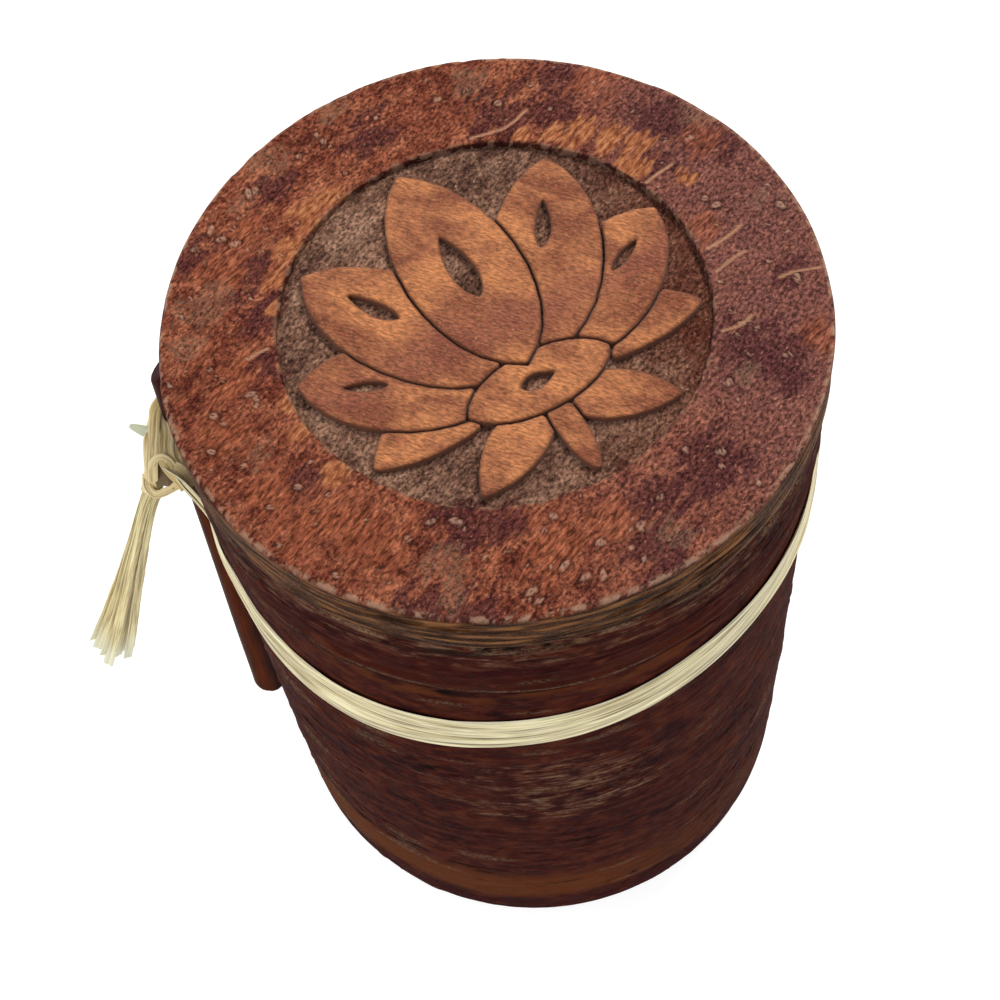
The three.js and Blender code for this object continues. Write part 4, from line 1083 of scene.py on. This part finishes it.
def swept(path, outwards, section):
    """Points and faces of a strand. Each place on the path has its own section, as (across, out) pairs."""
    path, outwards = np.asarray(path, float), np.asarray(outwards, float)
    tangent = np.gradient(path, axis=0)
    tangent /= np.linalg.norm(tangent, axis=1)[:, None]
    across = np.cross(outwards, tangent)
    across /= np.linalg.norm(across, axis=1)[:, None]
    out = np.cross(tangent, across)
    points = path[:, None] + across[:, None] * section[..., :1] + out[:, None] * section[..., 1:]
    rings, sides = section.shape[:2]
    ring, side = np.meshgrid(np.arange(rings - 1), np.arange(sides), indexing="ij")
    here, next_side = ring * sides + side, ring * sides + (side + 1) % sides
    faces = np.stack([here, next_side, next_side + sides, here + sides], -1).reshape(-1, 4).tolist()
    last = (rings - 1) * sides
    faces += [list(range(sides - 1, -1, -1)), list(range(last, last + sides))]
    return points.reshape(-1, 3), faces


def ribbon(path, outwards, width, thickness, cup, seed, tip=0.0, shade=0.0):
    """Points, faces and marks of a dry palm ribbon: cupped, pleated lengthwise, uneven in width."""
    steps = np.linalg.norm(np.diff(path, axis=0), axis=1)
    along = np.concatenate([[0], np.cumsum(steps)])
    line = np.stack([along, np.zeros_like(along), np.zeros_like(along)], 1)
    width = width * (1 + 0.16 * lattice_noise(line, 11, seed) + 0.06 * lattice_noise(line, 2.5, seed + 1))
    cup = cup * (1 + 0.5 * lattice_noise(line, 11, seed + 2))
    if tip:
        width = width * (0.3 + 0.7 * np.clip((along[-1] - along) / tip, 0, 1) ** 0.6)
    turn = 2 * np.pi * np.arange(RIBBON_SIDES) / RIBBON_SIDES
    across = np.sign(np.cos(turn)) * np.abs(np.cos(turn)) ** 0.7
    rise = np.sin(turn)
    sway = 0.35 * lattice_noise(line, 14, seed + 3)[:, None]
    pleat = np.cos(2 * np.pi * (1.6 * across[None] + sway))
    pleat += 0.6 * np.cos(2 * np.pi * (3.7 * across[None] - sway))
    out = (rise * thickness / 2)[None] + cup[:, None] * (across ** 2 - 0.4)[None] + 0.16 * thickness * pleat
    section = np.stack([across[None] * width[:, None] / 2, out], -1)
    points, faces = swept(path, outwards, section)
    shape = (len(path), RIBBON_SIDES)
    grain = np.zeros((*shape, 3))
    grain[..., 0] = along[:, None]
    grain[..., 1] = across[None] * width[:, None] / 2 + 0.4 * rise[None]
    grain[..., 2] = seed
    rim = np.broadcast_to(np.abs(across) ** 9, shape)
    end = np.broadcast_to((1 - eased(along[-1] - along, 1, 11))[:, None], shape)
    marks = {"grain": grain.reshape(-1, 3), "rim": rim.ravel(), "end": end.ravel()}
    # The shade argument darkens the whole ribbon as painted shade; the knot's hollow uses it.
    return points, faces, {**marks, "painted_shade": np.full(len(points), shade)}


def join_ribbons(name, ribbons, material):
    """One piece made of one or more ribbons."""
    points, faces, marks = [], [], {}
    for part_points, part_faces, part_marks in ribbons:
        start = sum(len(part) for part in points)
        points.append(part_points)
        faces += [[corner + start for corner in face] for face in part_faces]
        for mark, values in part_marks.items():
            marks.setdefault(mark, []).append(values)
    joined = {mark: np.concatenate(values) for mark, values in marks.items()}
    return make_piece(name, np.vstack(points), faces, "container", material, joined)


# Raffia: dried strips of palm leaf, pale straw with a soft sheen. Parallel veins run its whole length,
# lighter and darker by turns. Real veins are 0.1 mm apart; they are drawn at 0.4 mm, as fine as shows.
def raffia_material(name, pale, straw, dark, rim, end):
    material = new_material(name)
    grain = add_node(material, "Attribute", attribute_name="grain").outputs["Vector"]
    rims = add_node(material, "Attribute", attribute_name="rim").outputs["Fac"]
    ends = add_node(material, "Attribute", attribute_name="end").outputs["Fac"]
    veins = add_node(material, "Mapping", {"Vector": grain, "Scale": (1 / 18, 2.4, 1)})
    vein = add_node(material, "TexNoise", {"Vector": veins.outputs[0], "Scale": 1.0, "Detail": 3.0,
                                           "Roughness": 0.65})
    lengths = add_node(material, "Mapping", {"Vector": grain, "Scale": (1 / 13, 0.7, 3.7)})
    patch = add_node(material, "TexNoise", {"Vector": lengths.outputs[0], "Scale": 1.0, "Detail": 3.0})
    lined = add_node(material, "ValToRGB", {"Fac": vein.outputs["Fac"]}, stops=[
        (0.40, linear(dark)), (0.58, linear(pale)), (0.48, linear(straw))])
    tinted = add_node(material, "ValToRGB", {"Fac": patch.outputs["Fac"]}, stops=[
        (0.40, linear(dark)), (0.60, linear(pale)), (0.5, linear(straw))])
    mixed = add_node(material, "Mix", {0: 0.30, 6: lined.outputs[0], 7: tinted.outputs[0]}, data_type="RGBA")
    faint = add_node(material, "Math", {0: rims, 1: 0.7}, operation="MULTIPLY")
    edged = add_node(material, "Mix", {0: faint.outputs[0], 6: mixed.outputs[2], 7: linear(rim)},
                     data_type="RGBA")
    faded = add_node(material, "Math", {0: ends, 1: 0.65}, operation="MULTIPLY")
    tipped = add_node(material, "Mix", {0: faded.outputs[0], 6: edged.outputs[2], 7: linear(end)},
                      data_type="RGBA")
    # Painted shade: ribbons marked with shade turn deep brown, as the shade in the knot's hollow.
    knot_shade = add_node(material, "Attribute", attribute_name="painted_shade").outputs["Fac"]
    shaded = add_node(material, "Mix", {0: knot_shade, 6: tipped.outputs[2], 7: linear(0x4C2C08)},
                      data_type="RGBA")
    relief = add_node(material, "Bump", {"Height": vein.outputs["Fac"], "Strength": 0.8,
                                         "Distance": 0.00016})
    shader = add_node(material, "BsdfPrincipled", {
        "Base Color": shaded.outputs[2], "Roughness": 0.46, "IOR": 1.45, "Normal": relief.outputs[0],
        "Sheen Weight": 0.15})
    add_node(material, "OutputMaterial", {"Surface": shader.outputs[0]})
    return material


def winding_points():
    """The strand leaves the knot to the front, goes round below itself and crosses back to the knot."""
    _, wall_turn, bend_turn = strand_bend(RIBBON_STAND_OFF)
    stations = [-bend_turn, 0, bend_turn, *[turn for turn, _ in NEAR_KNOT]]
    stations += [wall_turn + (360 - 2 * wall_turn) * step / WALL_STEPS for step in range(WALL_STEPS + 1)]
    stations.append(360 - (bend_turn + wall_turn) / 2)
    start = scoop_turn(TIE_HEIGHT)
    knot_turn = KNOT_ANGLE - start
    points = [from_knot(*RIBBON_START)]
    for turn, station in itertools.product(range(TURNS + 1), stations):
        along = station + 360 * turn
        since_knot = along - knot_turn
        if not CLEAR_OF_KNOT <= since_knot <= 360 * TURNS - CLEAR_OF_KNOT:
            continue
        level = (TURNS / 2 - since_knot / 360) * STRAND_PITCH
        passing = round(since_knot / 360)
        tight = DRAWN_TIGHT if since_knot > 360 * passing else 1
        drawn_height = KNOT_HEIGHT + (DRAWN_TOGETHER[passing] - KNOT_HEIGHT) * tight
        drawn = 1 - eased(abs(since_knot - 360 * passing), 0, DRAWN_REACH)
        placed = start + along - 360 * TURNS
        if placed > 0:
            drawn = max(drawn, eased(placed, CROSSING[1], KNOT_ANGLE))
        # The scoop leans, so the angle and the height hang on each other: two rounds settle both.
        height = tie_middle(start) + level
        for _ in range(2):
            angle = scoop_turn(height) + along
            height = tie_middle(angle) + level * (1 + humps(angle, TIE_SPREADS))
            height += (drawn_height - height) * drawn
        near = dict(NEAR_KNOT).get(station)
        radius = near if near else strand_radius(angle, height, RIBBON_STAND_OFF)
        if placed > 0:
            radius += CROSSING_LIFT * (eased(placed, *CROSSING[:2]) - eased(placed, *CROSSING[2:]))
        points.append(polar(radius, angle, height))
    return points + [from_knot(*RIBBON_END)]


raffia_tie_finish = raffia_material("raffia_tie", 0xFCF3C4, 0xC8B67C, 0x6E5E34, 0xFFFAE0, 0xF0EACB)

winding_path = smoothed(winding_points(), RIBBON_GRAIN)
winding_out = winding_path * (1, 1, 0)
winding_out /= np.linalg.norm(winding_out, axis=1)[:, None]
winding_roll = 0.14 + 0.30 * lattice_noise(np.arange(len(winding_path))[:, None] * (0.8, 0, 0), 22, 31)
winding_facing = winding_out + UPWARD * winding_roll[:, None]
winding = join_ribbons("raffia_ribbon", [
    ribbon(winding_path, winding_facing, RIBBON_WIDTH, RIBBON_THICKNESS, RIBBON_CUP, seed=3)],
    raffia_tie_finish)
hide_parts("raffia_winding")

# Raffia knot. The ribbon's two ends are tied round the drawn-together turns at the scoop's front edge: one
# loop arches over a hollow, whose shade is painted on a dark ribbon, one wraps below it, and the ends run on
# into the tail. Dry ribbon, pleated and creased.
# The knot's raffia is painted lighter than the tie's, though it is the same ribbon: painted light against
# the shade on the box's left.
raffia_knot_brightened_finish = raffia_material("raffia_knot", 0xFFF2C4, 0xE6CC8C, 0x9C7C42, 0xFFF4CC, 0xE2CC8E)

# Each bend: its route from the knot's middle, the way its flat side faces, its width and thickness.
KNOT_BENDS = [
    ([(-1.6, -11.4, 2.4), (0.0, -8.8, 2.3), (0.8, -6.6, 2.0), (1.4, -4.2, 1.6), (1.4, -2.0, 1.0),
      (1.5, -0.6, -0.1), (2.0, 0.1, -1.6), (2.6, 0.3, -3.2), (3.2, 0.2, -5.0)],
     (0.35, 0.6, 0.6), 1.8, 0.36),
    ([(-1.8, -11.0, 2.8), (0.0, -8.6, 2.8), (0.4, -6.6, 2.5), (0.5, -4.6, 2.1), (0.7, -2.6, 1.6),
      (1.0, -0.9, 0.7), (1.3, 0.2, -0.8), (1.8, 0.6, -2.4), (2.5, 0.6, -4.4)],
     (0.2, 0.7, 0.6), 1.8, 0.36),
    ([(-1.5, -9.8, 2.3), (-0.8, -7.4, 2.3), (-1.1, -4.8, 2.2), (-1.0, -2.6, 2.0), (-1.2, -0.9, 1.5),
      (-2.0, 0.4, 0.8), (-2.9, 1.3, 0.0), (-3.7, 2.4, -0.6)],
     (-0.1, 0.6, 0.75), 2.3, 0.34),
    ([(-3.4, -4.8, 1.3), (-2.6, -3.2, 1.6), (-2.4, -1.4, 1.3), (-2.8, 0.2, 0.6), (-3.7, 1.6, -0.2),
      (-4.5, 3.1, -0.9)],
     (-0.1, 0.6, 0.75), 2.2, 0.34),
    ([(1.7, 0.3, -1.4), (1.3, -0.7, 0.3), (0.5, -1.2, 1.5), (-0.7, -1.2, 2.0), (-1.8, -0.5, 1.7),
      (-2.4, 0.6, 0.9), (-2.3, 1.4, -0.4)],
     (0.0, 0.5, 0.85), 1.0, 0.65),
    ([(2.3, -0.8, -1.4), (2.4, 0.6, -2.3), (1.5, 1.8, -2.7), (0.3, 2.0, -2.4), (-1.0, 1.9, -1.7),
      (-2.2, 1.8, -1.0), (-3.3, 2.0, -0.6), (-4.3, 2.9, -0.7)],
     (0.0, 0.85, 0.4), 1.5, 0.6),
    ([(-1.6, 0.0, 0.9), (-2.4, 0.4, 1.3), (-3.1, 0.9, 1.0), (-3.7, 1.6, 0.2), (-4.4, 2.6, -0.7)],
     (-0.1, 0.5, 0.85), 1.9, 0.5),
]
# The route of a dark ribbon below the loop, painted shade that fills the hollow.
HOLLOW_ROUTE = [(1.0, -0.2, -0.9), (-0.2, 0.0, -0.5), (-1.3, 0.3, -0.3), (-2.4, 0.9, -0.6)]
HOLLOW_WIDTH = 3.4
KNOT_GRAIN = 0.25

bends = []
for index, (route, facing, width, thickness) in enumerate(KNOT_BENDS):
    path = smoothed([from_knot(*place) for place in route], KNOT_GRAIN)
    faces_out = np.tile(facing[0] * OUTWARD + facing[1] * SIDEWAYS + facing[2] * UPWARD, (len(path), 1))
    bends.append(ribbon(path, faces_out, width, thickness, 0.12, seed=40 + index))
hollow_path = smoothed([from_knot(*place) for place in HOLLOW_ROUTE], KNOT_GRAIN)
hollow_facing = np.tile(UPWARD + 0.6 * SIDEWAYS, (len(hollow_path), 1))
bends.append(ribbon(hollow_path, hollow_facing, HOLLOW_WIDTH, 0.4, 0.1, seed=50, shade=0.9))
knot = join_ribbons("raffia_overhand", bends, raffia_knot_brightened_finish)
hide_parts("raffia_knot")

# Raffia sprig. A short cut end of a greener, paler ribbon of palm leaf. It is caught between the turns
# beside the knot, sticks out above them and narrows to a point.
raffia_sprig_finish = raffia_material("raffia_sprig", 0xF3F6DC, 0xDDE2BE, 0xC2C79C, 0xF0F3D8, 0xE4E9C8)
SPRIG_ROUTE = [(0.1, -4.7, 1.5), (1.2, -5.3, 1.7), (2.5, -5.9, 2.0), (3.9, -6.5, 2.3)]
SPRIG_WIDTH = 1.3
SPRIG_THICKNESS = 0.3
SPRIG_CUP = 0.12
SPRIG_TIP = 2.0
SPRIG_GRAIN = 0.2

sprig_path = smoothed([from_knot(*place) for place in SPRIG_ROUTE], SPRIG_GRAIN)
sprig_facing = np.tile(UPWARD + 0.6 * SIDEWAYS, (len(sprig_path), 1))
sprig = join_ribbons("raffia_cut_end", [
    ribbon(sprig_path, sprig_facing, SPRIG_WIDTH, SPRIG_THICKNESS, SPRIG_CUP, seed=14, tip=SPRIG_TIP)],
    raffia_sprig_finish)
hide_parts("raffia_sprig")

# Raffia tail. Eight split palm-leaf strands leave the knot together, hang free and fan out towards their cut
# tips. Each is a dry ribbon, cupped and pleated lengthwise, about 1.25 mm wide.
# The tail's raffia is painted lighter than the tie's: painted light against the shade on the box's left.
raffia_tail_brightened_finish = raffia_material("raffia_tail", 0xF8ECB2, 0xD6C07C, 0x8A763A, 0xF8EDBC, 0xEEF2DA)

TAIL_ROUTE = [
    (1.3, 0, -3.2),
    (2.1, 0, -4.6),
    (3.1, 0.1, -6.8),
    (4.2, 0.2, -9.6),
    (5.4, 0.2, -12.9),
    (6.7, 0.2, -16.6),
    (8.1, 0.1, -20.6),
    (9.6, 0, -24.8),
    (11.1, -0.1, -29.1),
    (12.6, -0.1, -33.4),
    (14.2, 0, -37.8),
    (15.8, 0.1, -42.3),
    (17.5, 0.2, -46.9),
    (19.3, 0.2, -51.7),
    (21.1, 0.2, -56.3),
]
TAIL_TIPS = [
    (-3.1, -1.5, 0.99),
    (3.5, -1.2, 0.93),
    (-1.9, -0.7, 1),
    (2.5, -0.5, 0.96),
    (-1.1, 0.5, 0.98),
    (1.3, 0.7, 0.97),
    (-2.5, 1.3, 0.97),
    (0.4, 1.6, 1),
]
TAIL_PITCH = 0.86
TAIL_ROOT_SLOPE = 0.5
TAIL_WIDTH = 1.25
TAIL_THICKNESS = 0.36
TAIL_CUP = 0.16
TAIL_GRAIN = 0.6
TAIL_LEANS = (-38, 24, 12, -20, 34, -8, 20, -30)


def tail_path(index, tip_out, tip_along, share):
    """The route of one strand: two abreast at the knot, parting towards the tips."""
    root_out = (index % 2 - 0.5) * TAIL_PITCH
    root_along = (index // 2 - 1.5) * TAIL_PITCH
    points = []
    for place, (out, along, up) in enumerate(TAIL_ROUTE):
        part = place / (len(TAIL_ROUTE) - 1)
        fan = part * part
        shorter = 1 + (share - 1) * part
        points.append(from_knot(out * shorter + root_out + (tip_out - root_out) * fan,
                                along + root_along + (tip_along - root_along) * fan,
                                up * shorter + root_out * TAIL_ROOT_SLOPE))
    return smoothed(points, TAIL_GRAIN)


for index, (tip_out, tip_along, share) in enumerate(TAIL_TIPS):
    path = tail_path(index, tip_out, tip_along, share)
    lean = math.radians(TAIL_LEANS[index])
    facing = np.tile(math.cos(lean) * SIDEWAYS - math.sin(lean) * OUTWARD, (len(path), 1))
    widths = TAIL_WIDTH * np.linspace(0.85, 1.2, len(path))
    strand = join_ribbons(f"raffia_strand_{index + 1}", [
        ribbon(path, facing, widths, TAIL_THICKNESS, TAIL_CUP, seed=20 + index)], raffia_tail_brightened_finish)
    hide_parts(f"raffia_tail_{index + 1}")
